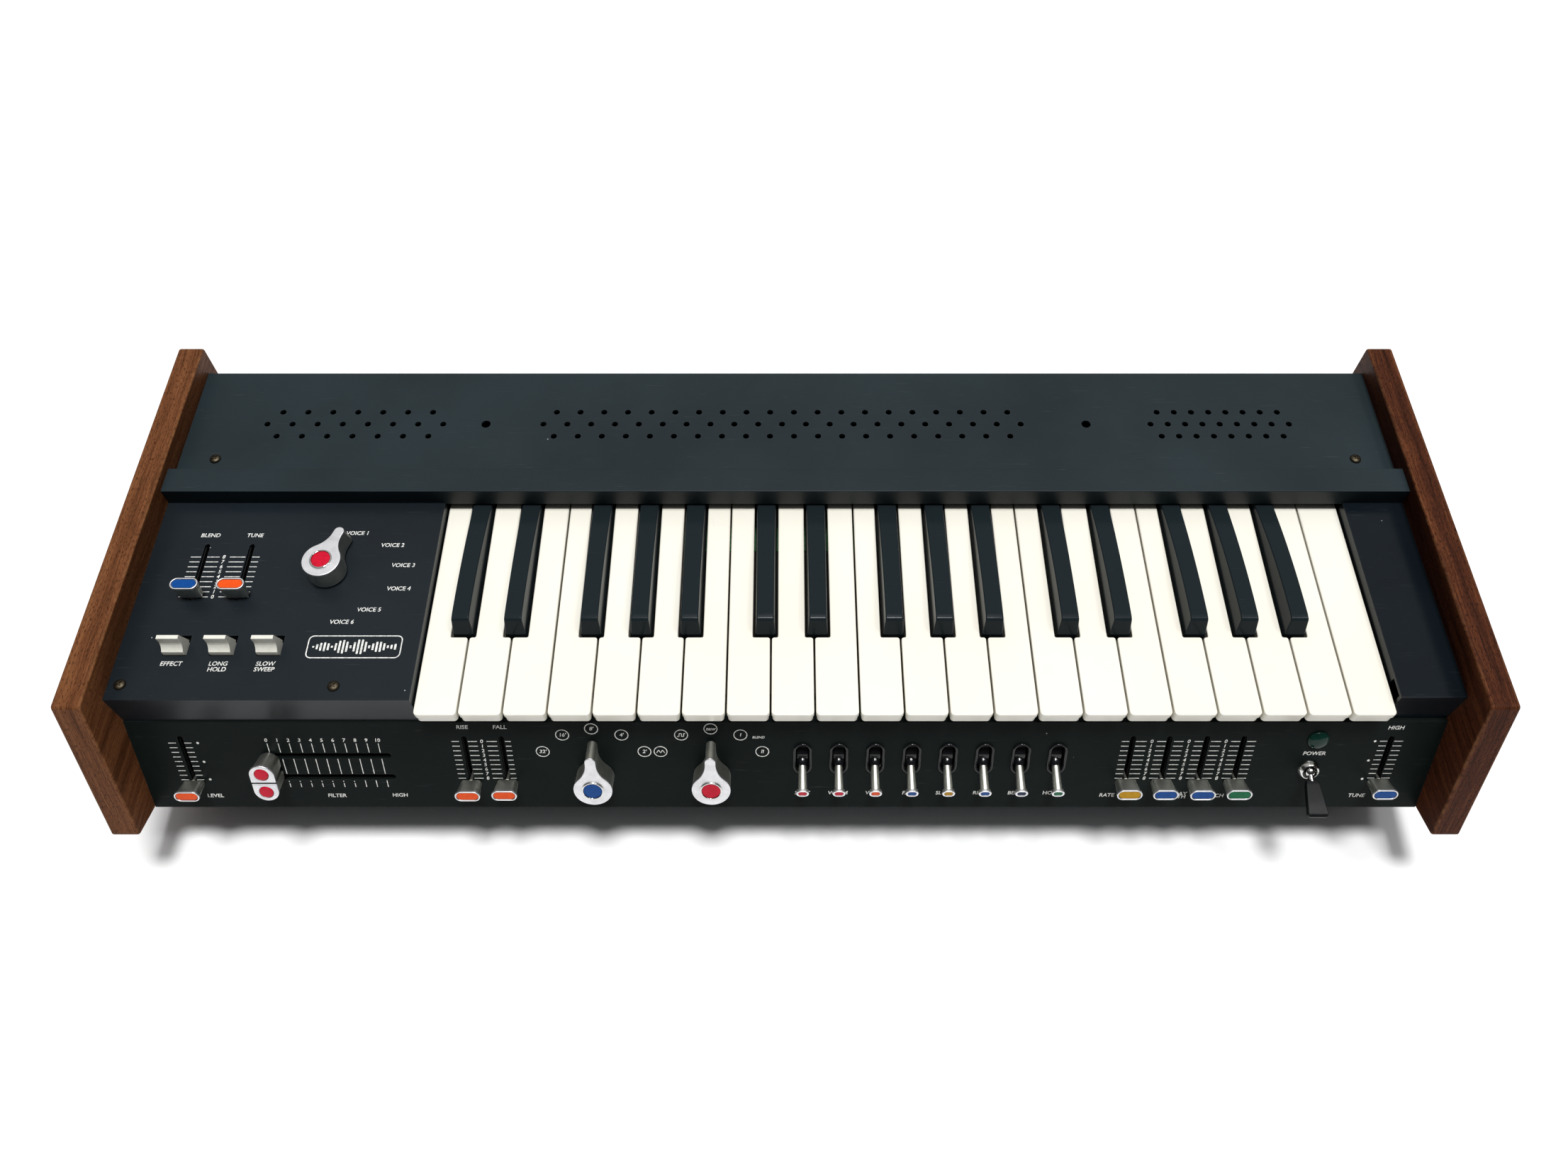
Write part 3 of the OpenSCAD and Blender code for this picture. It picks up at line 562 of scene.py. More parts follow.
def plate(outline, low, high, edge, place, holes=(), steps=3):
    """Plate from an outline in X and Y, between two heights, with rounded edges"""
    curve = bpy.data.curves.new("outline", "CURVE")
    curve.dimensions = "2D"
    curve.fill_mode = "BOTH"
    curve.extrude = (high - low) / 2 - edge
    curve.bevel_depth = edge
    curve.bevel_resolution = steps
    curve.offset = -edge
    for ring, sign in [(outline, 1)] + [(hole, -1) for hole in holes]:
        points = ring if area_of(ring) * sign > 0 else ring[::-1]
        spline = curve.splines.new("POLY")
        spline.points.add(len(points) - 1)
        for point, (x, y) in zip(spline.points, points):
            point.co = (x, y, 0, 1)
        spline.use_cyclic_u = True
    obj = link("outline", curve)
    mesh = evaluated_mesh(obj)
    bpy.data.objects.remove(obj)
    bpy.data.curves.remove(curve)
    bm = bmesh.new()
    bm.from_mesh(mesh)
    bpy.data.meshes.remove(mesh)
    closed(bm)
    return to_mesh(bm, place @ Matrix.Translation((0, 0, (low + high) / 2 * MM)))


def loft(rings, place):
    """Closed skin over rings of points, all with the same number of points"""
    bm = bmesh.new()
    loops = [[bm.verts.new(p) for p in ring] for ring in rings]
    count = len(rings[0])
    for low, high in zip(loops, loops[1:]):
        for k in range(count):
            bm.faces.new((low[k], low[(k + 1) % count], high[(k + 1) % count], high[k]))
    bm.faces.new(loops[0][::-1])
    bm.faces.new(loops[-1])
    closed(bm)
    return to_mesh(bm, place)


def lathe(profile, place, steps=32):
    """Turned shape: profile of (radius, height), closed at both ends"""
    return loft([[(max(r, 0.001) * math.cos(2 * math.pi * k / steps),
                   max(r, 0.001) * math.sin(2 * math.pi * k / steps), h) for k in range(steps)]
                 for r, h in profile], place)


def wide_edges(bm, angle):
    """Edges where two faces meet outwards at more than an angle in degrees"""
    return [e for e in bm.edges if len(e.link_faces) == 2
            and e.calc_face_angle_signed(0) > math.radians(angle)]


def cad_copy(*nodes):
    """Merged copy of CAD nodes, its flat triangles joined into whole faces"""
    bm = bmesh.new()
    for node in nodes:
        bm.from_mesh(frame["nodes"][node].data)
    bmesh.ops.remove_doubles(bm, verts=bm.verts, dist=2e-6)
    bmesh.ops.dissolve_limit(bm, angle_limit=math.radians(0.5), verts=bm.verts, edges=bm.edges)
    return bm


def fold_edges(bm, width=0.003):
    """Edges along X where two wide faces of folded sheet meet on the outside"""
    sides = {}
    for e in wide_edges(bm, 25):
        a, b = e.verts[0].co, e.verts[1].co
        if abs(a.x - b.x) < 0.01 or (a - b).yz.length > 1e-5:
            continue
        widths = [f.calc_area() / e.calc_length() for f in e.link_faces]
        key = (round(a.y, 4), round(a.z, 4))
        sides.setdefault(key, []).append((e, min(widths)))
    return [e for row in sides.values() if max(w for _, w in row) > width for e, _ in row]


def soften(bm, edges, width, segments):
    bmesh.ops.bevel(bm, geom=edges, offset=width, offset_type="OFFSET", segments=segments, profile=0.5,
                    affect="EDGES", clamp_overlap=True)


def piece(name, meshes, finish, body, slot, *nodes, sharp=38):
    """Joins finished meshes into one smooth-shaded object that rides on a body"""
    bm = bmesh.new()
    for mesh in meshes:
        bm.from_mesh(mesh)
        bpy.data.meshes.remove(mesh)
    mesh = bpy.data.meshes.new(name)
    bm.to_mesh(mesh)
    bm.free()
    mesh.materials.clear()
    mesh.materials.append(material(finish))
    mesh.polygons.foreach_set("material_index", [0] * len(mesh.polygons))
    mesh.shade_smooth()
    mesh.set_sharp_from_angle(angle=math.radians(sharp))
    obj = link(name, mesh)
    weighted = obj.modifiers.new("weighted", "WEIGHTED_NORMAL")
    weighted.keep_sharp = True
    weighted.mode = "FACE_AREA"
    final = evaluated_mesh(obj)
    obj.modifiers.clear()
    obj.data = final
    bpy.data.meshes.remove(mesh)
    final.name = name
    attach(obj, body)
    if nodes:
        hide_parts(*nodes)


# ---------- Geometry Nodes ----------
def new_tree(name, sockets):
    """A geometry tree with a Geometry input and output and the named inputs"""
    tree = bpy.data.node_groups.new(name, "GeometryNodeTree")
    tree.interface.new_socket("Geometry", in_out="INPUT", socket_type="NodeSocketGeometry")
    tree.interface.new_socket("Geometry", in_out="OUTPUT", socket_type="NodeSocketGeometry")
    for label, kind in sockets:
        tree.interface.new_socket(label, in_out="INPUT", socket_type="NodeSocket" + kind)
    return tree, tree.nodes.new("NodeGroupInput").outputs, tree.nodes.new("NodeGroupOutput").inputs


def finish_tree(tree, given, out, points, shape):
    """Puts a shape on every point, makes it real and gives it its material"""
    placed = add(tree, "GeometryNodeInstanceOnPoints", {"Points": points, "Instance": shape}).outputs[0]
    real = add(tree, "GeometryNodeRealizeInstances", {"Geometry": placed}).outputs[0]
    coated = add(tree, "GeometryNodeSetMaterial", {"Geometry": real, "Material": given["Material"]}).outputs[0]
    tree.links.new(coated, out["Geometry"])
    return tree


def bar_tree():
    """A bar on every point: the lines of a printed scale"""
    tree, given, out = new_tree("scale_bars", [("Length", "Float"), ("Width", "Float"), ("Thickness", "Float"),
                                               ("Material", "Material")])
    size = add(tree, "ShaderNodeCombineXYZ",
               {"X": given["Length"], "Y": given["Width"], "Z": given["Thickness"]})
    bar = add(tree, "GeometryNodeMeshCube", {"Size": size.outputs[0]}).outputs["Mesh"]
    return finish_tree(tree, given, out, given["Geometry"], bar)


def copies_tree():
    """A copy of one small piece on every point"""
    tree, given, out = new_tree("copies_on_points", [("Piece", "Object"), ("Material", "Material")])
    shape = add(tree, "GeometryNodeObjectInfo", {"Object": given["Piece"]}).outputs["Geometry"]
    return finish_tree(tree, given, out, given["Geometry"], shape)


def run_tree(tree, points, values, place):
    """Plain mesh that a geometry tree makes from points and named values"""
    base = bpy.data.meshes.new("points")
    base.from_pydata(points, [], [])
    obj = link("points", base)
    modifier = obj.modifiers.new("build", "NODES")
    modifier.node_group = tree
    for item in tree.interface.items_tree:
        if item.in_out == "INPUT" and item.name in values:
            modifier[item.identifier] = values[item.name]
    mesh = evaluated_mesh(obj)
    bpy.data.objects.remove(obj)
    bpy.data.meshes.remove(base)
    mesh.transform(place @ TO_METRES)
    return mesh


# ---------- Frames of the two panels, in millimetres from their own origins ----------
def panel_frame(origin, up, out):
    across = Vector((1, 0, 0))
    made = Matrix.Identity(4)
    for column, axis in enumerate((across, up, out)):
        for row in range(3):
            made[row][column] = axis[row]
    made.translation = origin
    return made


front_out = Vector(joints["footage_selector_turn"]["axis"]).normalized()
front_up = Vector((0, front_out.z, -front_out.y))
front_knob = Vector(joints["footage_selector_turn"]["pos_m"])
front_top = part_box("front_panel")[1].z
front_edge = front_knob + front_up * ((front_top - front_knob.z) / front_up.z)
FRONT = panel_frame(Vector((0, front_edge.y, front_edge.z)), front_up, front_out)
desk_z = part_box("control_panel")[1].z
DESK = panel_frame(Vector((0, 0, desk_z)), Vector((0, 1, 0)), Vector((0, 0, 1)))
WORLD = Matrix.Identity(4)


def at(place, x, y, h=0.0):
    """Frame moved to a point of a panel, given in millimetres"""
    return place @ Matrix.Translation((x * MM, y * MM, h * MM))


def turned(degrees, axis):
    return Matrix.Rotation(math.radians(degrees), 4, axis)


def backwards(x, y, z):
    """Frame on the back wall, its Z out of the back"""
    return Matrix.Translation((x, y, z)) @ Matrix(
        ((-1, 0, 0, 0), (0, 0, 1, 0), (0, 1, 0, 0), (0, 0, 0, 1)))


def local(place, point):
    """A point of the row frame in a panel's own millimetres"""
    return place.inverted() @ Vector(point) * 1000


def islands(bm):
    """Separate solids of a mesh, each as its faces"""
    left = set(bm.faces)
    while left:
        seed = left.pop()
        found, queue = [seed], [seed]
        while queue:
            for e in queue.pop().edges:
                for f in e.link_faces:
                    if f in left:
                        left.discard(f)
                        found.append(f)
                        queue.append(f)
        yield found


def solids(node, place):
    """Centres of a node's separate solids in a panel's own millimetres, from left to right"""
    bm = cad_copy(node)
    back = place.inverted()
    centres = []
    for faces in islands(bm):
        points = [back @ v.co for f in faces for v in f.verts]
        low = Vector([min(p[k] for p in points) for k in range(3)])
        high = Vector([max(p[k] for p in points) for k in range(3)])
        centres.append((low + high) / 2 * 1000)
    bm.free()
    return sorted(centres, key=lambda c: c.x)


# ---------- Case ----------
def outline_of(bm):
    """The cheek's outline as points and running lengths, from its largest side face"""
    side = max(bm.faces, key=lambda f: f.calc_area() * abs(f.normal.x))
    points = [v.co.yz.copy() for v in side.verts]
    lengths = [0.0]
    for a, b in zip(points, points[1:] + points[:1]):
        lengths.append(lengths[-1] + (b - a).length)
    return points, lengths


def run_along(points, lengths, spot):
    """How far along the outline a spot's nearest point lies"""
    best = (1e9, 0.0)
    for i, a in enumerate(points):
        b = points[(i + 1) % len(points)]
        span = b - a
        share = max(0.0, min(1.0, (spot - a).dot(span) / max(span.length_squared, 1e-12)))
        best = min(best, ((a + span * share - spot).length, lengths[i] + span.length * share))
    return best[1]


def cheek(side, body_x):
    """Wood cheek: eased edges, and grain that runs along the board and round its edge"""
    bm = cad_copy(side + "_cheek")
    points, lengths = outline_of(bm)
    soften(bm, wide_edges(bm, 45), 0.0011, 3)
    grain = bm.loops.layers.uv.new("grain")
    for face in bm.faces:
        flat = abs(face.normal.x) > 0.7
        runs = [run_along(points, lengths, loop.vert.co.yz) for loop in face.loops]
        split = max(runs) - min(runs) > lengths[-1] / 2
        for loop, run in zip(face.loops, runs):
            if split and run < lengths[-1] / 2:
                run += lengths[-1]
            spot = loop.vert.co
            loop[grain].uv = (spot.y + body_x, spot.z) if flat else (run + body_x, spot.x + 0.5)
    piece(side + "_wood_cheek", [to_mesh(bm)], walnut, "case", "walnut", side + "_cheek")


def sheet_part(name, node, finish, slot, fold=0.0004):
    """Folded sheet part: its folds get a radius and its cut edges a fine break"""
    bm = cad_copy(node)
    soften(bm, fold_edges(bm), fold, 4)
    soften(bm, wide_edges(bm, 50), 0.00014, 1)
    piece(name, [to_mesh(bm)], finish, "case", slot, node)


def case():
    cheek("left", 0.0)
    cheek("right", 1.7)
    sheet_part("folded_tray", "bottom_tray", cover_paint, "black_case_paint")
    sheet_part("vented_cover", "top_cover", cover_paint, "black_case_paint")
    sheet_part("key_rail", "nose_rail", cover_paint, "black_gloss_paint", 0.0005)
    sheet_part("front_control_panel", "front_panel", front_paint, "black_panel_paint")
    sheet_part("side_control_panel", "control_panel", desk_paint, "black_panel_paint")
    sheet_part("treble_end_block", "end_block", gloss_paint, "black_gloss_paint")
    for node, finish in (("key_frame", dark_steel), ("electronics", circuit_board)):
        data = frame["nodes"][node].data
        data.materials.clear()
        data.materials.append(material(finish))


# ---------- Keys ----------
NOTES = ("c", "cs", "d", "ds", "e", "f", "fs", "g", "gs", "a", "as", "b")
BLACK_NOTES = (1, 3, 6, 8, 10)
GAP_HALF = 6.9
GAP_AHEAD = 1.3
KEYS = [f"key_{NOTES[i % 12]}{i // 12 + 1}" for i in range(37)]


def key_box(i):
    low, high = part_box(KEYS[i])
    return low * 1000, high * 1000


def is_black(i):
    return 0 <= i < len(KEYS) and i % 12 in BLACK_NOTES


def notch(i):
    """Left and right side of the gap that a black key stands in, and the gap's front"""
    low, high = key_box(i)
    middle = (low.x + high.x) / 2
    return middle - GAP_HALF, middle + GAP_HALF, low.y - GAP_AHEAD


def white_outline(i, inset):
    """Plan of a white key: wide front with round corners, narrow tail between black keys"""
    low, high = key_box(i)
    left, right = low.x + inset, high.x - inset
    front = low.y + inset
    corner = 2.4 - inset / 2
    points = [(left, front, corner), (right, front, corner)]
    if is_black(i + 1):
        tail, _, shoulder = notch(i + 1)
        points += [(right, shoulder, 1.4), (tail, shoulder, 0.9), (tail, high.y, 0.5)]
    else:
        points += [(right, high.y, 0.5)]
    if is_black(i - 1):
        _, tail, shoulder = notch(i - 1)
        points += [(tail, high.y, 0.5), (tail, shoulder, 0.9), (left, shoulder, 1.4)]
    else:
        points += [(left, high.y, 0.5)]
    return rounded(points)


KEY_SKIRT = 8.4


def white_key(i):
    """White key: a rounded top plate over a slightly smaller skirt"""
    _, high = key_box(i)
    top = plate(white_outline(i, 0.0), high.z - 3.9, high.z, 0.6, WORLD, steps=4)
    skirt = plate(white_outline(i, 0.5), high.z - KEY_SKIRT, high.z - 3.6, 0.35, WORLD)
    piece(KEYS[i] + "_ivory", [top, skirt], key_ivory, KEYS[i], "white_key", KEYS[i])


def black_key(i):
    """Black key: leaning sides, round-shouldered front, and a top that falls away to the back"""
    low, high = key_box(i)
    middle = (low.x + high.x) / 2
    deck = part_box(KEYS[0])[1].z * 1000
    front, crown, foot = low.y, low.y + 6.5, deck - 5.0
    fall = [(y, high.z - 0.00131 * (y - crown) ** 2) for y in range(int(crown) + 6, 46, 6)]
    nose = [(front, foot, 0), (front, deck + 0.6, 1.5), (front + 3.1, high.z - 0.6, 2.2), (crown, high.z, 8.0)]
    profile = rounded(nose + [(y, z, 0) for y, z in fall] + [(high.y, fall[-1][1], 0), (high.y, foot, 0)])
    bm = bmesh.new()
    sides = []
    for side in (-1, 1):
        half = [(5.6 - 0.9 * (z - deck) / (high.z - deck)) * side for _, z in profile]
        sides.append([bm.verts.new((middle + x, y, z)) for x, (y, z) in zip(half, profile)])
    left, right = sides
    count = len(profile)
    for k in range(count):
        bm.faces.new((left[k], left[(k + 1) % count], right[(k + 1) % count], right[k]))
    caps = [bm.faces.new(left[::-1]), bm.faces.new(right)]
    bmesh.ops.recalc_face_normals(bm, faces=bm.faces)
    rims = [e for cap in caps for e in cap.edges if min(v.co.z for v in e.verts) > deck]
    bmesh.ops.bevel(bm, geom=rims, offset=0.75, offset_type="OFFSET", segments=4, profile=0.5,
                    affect="EDGES", clamp_overlap=False)
    piece(KEYS[i] + "_ebony", [to_mesh(bm, WORLD)], key_ebony, KEYS[i], "black_key", KEYS[i], sharp=50)


def keyboard():
    for i in range(len(KEYS)):
        if is_black(i):
            black_key(i)
        else:
            white_key(i)


# ---------- Sliders ----------
FRONT_CAP = (14.0, 6.9)
DESK_CAP = (15.2, 7.4)
CAP_TOP = 12.2
RIM = 0.85


def slider(place, width, length):
    """One slider: plated body on a stem, and a pale rim round its top"""
    body = loft([[(x, y, h) for x, y in stadium(width - shrink, length - shrink, steps=8)]
                 for shrink, h in ((2.6, 1.0), (2.2, 1.3), (0.9, CAP_TOP - 1.7), (1.4, CAP_TOP - 1.2))], place)
    stem = loft([[(x, y, h) for x, y in rounded([(-0.8, -2.5, 0.3), (0.8, -2.5, 0.3), (0.8, 2.5, 0.3),
                                                 (-0.8, 2.5, 0.3)], 3)] for h in (-6.5, 1.2)], place)
    rim = plate(stadium(width, length), CAP_TOP - 1.6, CAP_TOP, 0.3, place,
                [stadium(width - 2 * RIM, length - 2 * RIM)])
    return body, stem, rim


def inset(place, width, length, top):
    """Coloured inset with a softly rounded edge"""
    return plate(stadium(width, length), top - 1.2, top, 0.35, place, steps=4)


FRONT_SLIDERS = ("level", "attack", "decay", "rate", "depth", "delay", "touch", "tune")
FRONT_CAPS = (orange_inset, orange_inset, orange_inset, yellow_inset, blue_inset, blue_inset, green_inset,
              blue_inset)
DESK_SLIDERS = ("balance", "fine_tune")
DESK_CAPS = (blue_inset, orange_inset)


def slider_group(node, names, caps, place, size):
    bodies, rims = [], []
    for name, cap, centre in zip(names, caps, solids(node, place)):
        spot = at(place, centre.x, centre.y)
        body, stem, rim = slider(spot, *size)
        bodies += [body, stem]
        rims.append(rim)
        colour = inset(spot, size[0] - 2 * RIM - 0.5, size[1] - 2 * RIM - 0.5, CAP_TOP - 0.15)
        piece(name + "_slider_inset", [colour], cap, node, cap.__name__)
    piece(node + "_bodies", bodies, smoked_chrome, node, "smoked_chrome", node)
    piece(node + "_rims", rims, satin_silver, node, "satin_metal")


FILTER_SEAM = 31.9
FILTER_TOP = 14.0


def half_oval(shrink=0.0):
    """Plan of a filter cap: flat side at the seam, round far end"""
    radius, length, gap = 6.7 - shrink, 12.4 - shrink, 0.6 + shrink
    return ([(radius, gap)] + arc(0, length - radius, radius, 0, 180, 20) + [(-radius, gap)])


def filter_cap(node, turn):
    low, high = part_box(node)
    middle = local(FRONT, (low + high) / 2)
    place = at(FRONT, middle.x, -FILTER_SEAM) @ turned(turn, "Z")
    body = loft([[(x, y, h) for x, y in half_oval(shrink)]
                 for shrink, h in ((1.3, 1.0), (0.4, FILTER_TOP - 2.0), (0.7, FILTER_TOP - 1.4))], place)
    face = plate(half_oval(), FILTER_TOP - 1.8, FILTER_TOP - 0.2, 0.4, place, [circle(3.9, 0, 6.2)])
    button = plate(circle(3.7, 0, 6.2), FILTER_TOP - 1.4, FILTER_TOP, 0.4, place)
    piece(node + "_body", [body], smoked_chrome, node, "smoked_chrome", node)
    piece(node + "_face", [face], satin_silver, node, "satin_metal")
    piece(node + "_button", [button], red_inset, node, "red_inset")


def sliders():
    slider_group("front_sliders", FRONT_SLIDERS, FRONT_CAPS, FRONT, FRONT_CAP)
    slider_group("desk_sliders", DESK_SLIDERS, DESK_CAPS, DESK, DESK_CAP)
    filter_cap("upper_filter_slider", 0)
    filter_cap("lower_filter_slider", 180)


# ---------- Selector knobs ----------
KNOB_R = 10.6
KNOB_REACH = 25.0
TOP_REACH = 22.8
POINTER = 2.9
FLARE = 14.0
KNOB_TOP = 14.5


def teardrop(shrink, reach):
    """Plan of a knob: round body that flares in to a narrow round-ended pointer"""
    radius, half, flare = KNOB_R - shrink, POINTER - shrink, FLARE + shrink
    rise = math.sqrt((radius + flare) ** 2 - (half + flare) ** 2)
    lean = math.degrees(math.atan2(rise, half + flare))
    tip = reach - POINTER
    return (arc(0, 0, radius, 180 - lean, 360 + lean, 40)
            + arc(half + flare, rise, flare, 180 + lean, 180, 8)[1:]
            + arc(0, tip, half, 0, 180, 12)
            + arc(-half - flare, rise, flare, 0, -lean, 8)[:-1])


def selector(node, place, cap, stem):
    """Selector knob: dark plated skirt, satin top, raised ring round a coloured inset"""
    skirt = loft([[(x, y, h) for x, y in teardrop(shrink, reach)] for shrink, reach, h in
                  ((0.6, KNOB_REACH - 0.4, 0.8), (0.3, KNOB_REACH, 1.2), (0.2, TOP_REACH + 0.2, KNOB_TOP - 1.6),
                   (0.6, TOP_REACH, KNOB_TOP - 1.2))], place)
    shaft = lathe([(3, -12.0), (3, 1.5)], place)
    top = plate(teardrop(0, TOP_REACH), KNOB_TOP - 2.0, KNOB_TOP - 0.8, 0.4, place, [circle(5.5)], steps=4)
    ring = plate(circle(6.1), KNOB_TOP - 1.8, KNOB_TOP, 0.3, place, [circle(5.2)], steps=4)
    colour = plate(circle(5.1), KNOB_TOP - 1.7, KNOB_TOP - 0.3, 0.35, place, steps=4)
    piece(stem + "_skirt", [skirt, shaft], smoked_chrome, node, "smoked_chrome", node)
    piece(stem + "_top", [top], satin_silver, node, "satin_metal")
    piece(stem + "_ring", [ring], bright_chrome, node, "bright_metal")
    piece(stem + "_inset", [colour], cap, node, cap.__name__)


def knobs():
    for name, place, turn, cap in (("voice", DESK, -18, red_inset), ("footage", FRONT, 0, blue_inset),
                                   ("waveform", FRONT, 0, red_inset)):
        pivot = local(place, joints[name + "_selector_turn"]["pos_m"])
        selector(name + "_selector_knob", at(place, pivot.x, pivot.y) @ turned(turn, "Z"), cap, name + "_knob")


# ---------- Levers, paddles and the power switch ----------
LEVER_TILT = 32
LEVER_REACH = 27.8
LEVER_CAPS = (red_inset, red_inset, orange_inset, blue_inset, yellow_inset, blue_inset, dark_blue_inset,
              green_inset)


def levers():
    """Eight small levers: glossy drum, chrome rod, and a slanted oval head with a coloured inset"""
    pivot = local(FRONT, joints["tone_lever_flip"]["pos_m"])
    drums, rods, rings, bezels = [], [], [], []
    for k, (cap, centre) in enumerate(zip(LEVER_CAPS, solids("tone_levers", FRONT))):
        foot = at(FRONT, centre.x, pivot.y, pivot.z)
        lean = foot @ turned(LEVER_TILT, "X")
        drums.append(lathe([(7.9, -3.3), (8.4, -2.8), (8.4, 2.8), (7.9, 3.3)], foot @ turned(90, "Y"), 48))
        drums.append(lathe([(3.3, 7.4), (3.3, 8.8), (3.0, 10.2), (2.5, 11.2), (2.1, 11.6)], lean, 24))
        rods.append(lathe([(1.9, 8.0), (2.1, 10.4), (2.45, LEVER_REACH - 3.4), (2.2, LEVER_REACH - 2.2)],
                          lean, 32))
        head = lean @ Matrix.Translation((0, 0, (LEVER_REACH - 1.6) * MM)) @ turned(-20, "X")
        rods.append(plate(stadium(6.6, 4.8), -1.4, 0.6, 0.5, head))
        rings.append(plate(stadium(7.0, 5.2), 0.2, 1.3, 0.3, head, [stadium(4.9, 3.1)]))
        colour = plate(stadium(4.8, 3.0), 0.2, 1.25, 0.35, head)
        piece(f"lever_{k + 1}_inset", [colour], cap, "tone_levers",
              "blue_inset" if cap is dark_blue_inset else cap.__name__)
        bezels.append(plate(stadium(10.4, 21.6), -0.3, 1.25, 0.55, at(FRONT, centre.x, pivot.y),
                            [stadium(7.4, 19.2)], steps=4))
    piece("lever_drums", drums, black_gloss, "tone_levers", "black_lever")
    piece("lever_rods", rods, smoked_chrome, "tone_levers", "lever_chrome", "tone_levers")
    piece("lever_rings", rings, satin_silver, "tone_levers", "satin_metal")
    piece("lever_bezels", bezels, black_gloss, "case", "black_gloss_paint")


def paddle_profile():
    """Side view of a paddle: square top lip, scooped front, small lower lip, sloping back"""
    scoop = arc(-7.6, 8.6, 6.6, -3, -58, 10)
    front = [(-1.1, 12.0), (-1.1, 9.1)] + scoop + [(-4.35, 1.9), (-4.4, 0.1), (-3.9, 0.0), (-3.9, -6.5)]
    return front + [(3.8, -6.5), (3.9, 0.0), (4.9, 0.2), (1.3, 11.8), (1.1, 12.0)]


def paddles():
    pivot = local(DESK, joints["effect_paddle_rock"]["pos_m"])
    side_on = Matrix(((0, 0, 1, 0), (1, 0, 0, 0), (0, 1, 0, 0), (0, 0, 0, 1)))
    made = []
    for centre in solids("effect_paddles", DESK):
        place = at(DESK, centre.x, pivot.y) @ side_on
        made.append(plate(paddle_profile(), -5.8, 5.8, 0.18, place, steps=2))
    piece("rocker_paddles", made, paddle_ivory, "effect_paddles", "ivory_paddle", "effect_paddles")


TOGGLE_TILT = 32


def power_switch():
    pivot = local(FRONT, joints["power_toggle_flip"]["pos_m"])
    foot = at(FRONT, pivot.x, pivot.y, pivot.z)
    lean = foot @ turned(TOGGLE_TILT, "X")
    neck = lathe([(1.2, -3.0), (2.6, -1.8), (3.1, 0.0), (2.6, 1.8), (1.8, 2.6), (1.7, 7.0)], lean, 32)
    sections = ((5.2, 2.6, 2.6), (6.0, 3.3, 3.4), (8.5, 3.9, 3.6), (24.0, 5.6, 3.4), (25.3, 5.3, 2.6),
                (26.0, 4.6, 1.4))
    sleeve = loft([[(x, y, h) for x, y in rounded([(-half, -deep / 2, 0.6), (half, -deep / 2, 0.6),
                                                   (half, deep / 2, 0.6), (-half, deep / 2, 0.6)], 4)]
                   for h, half, deep in sections], lean)
    nut = lathe([(5.4, -1.5), (5.4, 0.0), (6.1, 0.0), (6.1, 0.7), (5.7, 1.6), (5.1, 2.8), (4.7, 3.3),
                 (4.3, 3.4), (3.95, 3.1), (3.9, -1.5)], at(FRONT, pivot.x, pivot.y), 48)
    piece("power_toggle_neck", [neck], bright_chrome, "power_toggle", "bright_metal")
    piece("power_toggle_sleeve", [sleeve], black_sleeve, "power_toggle", "black_lever", "power_toggle")
    piece("power_toggle_nut", [nut], bright_chrome, "case", "bright_metal")


LAMP = (290.1, -12.5)


def pilot_lamp():
    place = at(FRONT, *LAMP)
    dome = [(5.8 * math.cos(a), 0.4 + 1.9 * math.sin(a)) for a in [math.radians(9 * k) for k in range(10)]]
    lens = lathe([(4.0, -8.0), (4.0, -0.5), (5.8, -0.1)] + dome + [(0.0, 2.3)], place, 48)
    piece("pilot_lamp_lens", [lens], lamp_green, "case", "lamp_lens")


# ---------- Hardware ----------
def hidden_hardware():
    """Slider tracks and switch bodies behind the panels, without the outer parts made elsewhere"""
    bm = cad_copy("panel_hardware")
    back = FRONT.inverted()
    for faces in list(islands(bm)):
        verts = {v for f in faces for v in f.verts}
        outermost = max((back @ v.co).z for v in verts) * 1000
        if outermost > 0.1 or max(v.co.y for v in verts) > 0.1:
            bmesh.ops.delete(bm, geom=list(verts), context="VERTS")
    piece("tracks_and_switches", [to_mesh(bm)], track_metal, "case", "bright_metal", "panel_hardware")


JACKS = ("output_jack_a", "output_jack_b")
GLAND_X = -300


def back_panel_hardware():
    """Two phone jacks with their nuts, and the cord's gland, on the back wall"""
    mounts = {m["name"]: Vector(m["pos_m"]) for m in frame["record"]["mounts"]}
    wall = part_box("bottom_tray")[1].y
    height = mounts[JACKS[0]].z
    metal_parts = []
    for name in JACKS:
        place = backwards(mounts[name].x, wall, height)
        metal_parts.append(lathe([(3.4, -13.0), (8.0, -13.0), (8.0, -1.6), (5.1, -1.5), (5.1, 2.7), (4.8, 3.0),
                                  (3.6, 3.0), (3.3, 2.7), (3.3, -12.0)], place, 40))
        metal_parts.append(plate(circle(6.5, steps=7)[:6], 0.0, 2.0, 0.3, place, [circle(5.0)]))
    gland = lathe([(3.4, -6.0), (8.0, -6.0), (8.0, -1.5), (9.0, 0.0), (8.6, 0.8), (7.2, 4.6), (6.7, 5.0),
                   (3.8, 5.0), (3.4, 4.6), (3.4, -5.5)], backwards(GLAND_X * MM, wall, height), 48)
    piece("output_jacks", metal_parts, bright_chrome, "case", "bright_metal")
    piece("cord_gland", [gland], black_sleeve, "case", "foot_rubber")


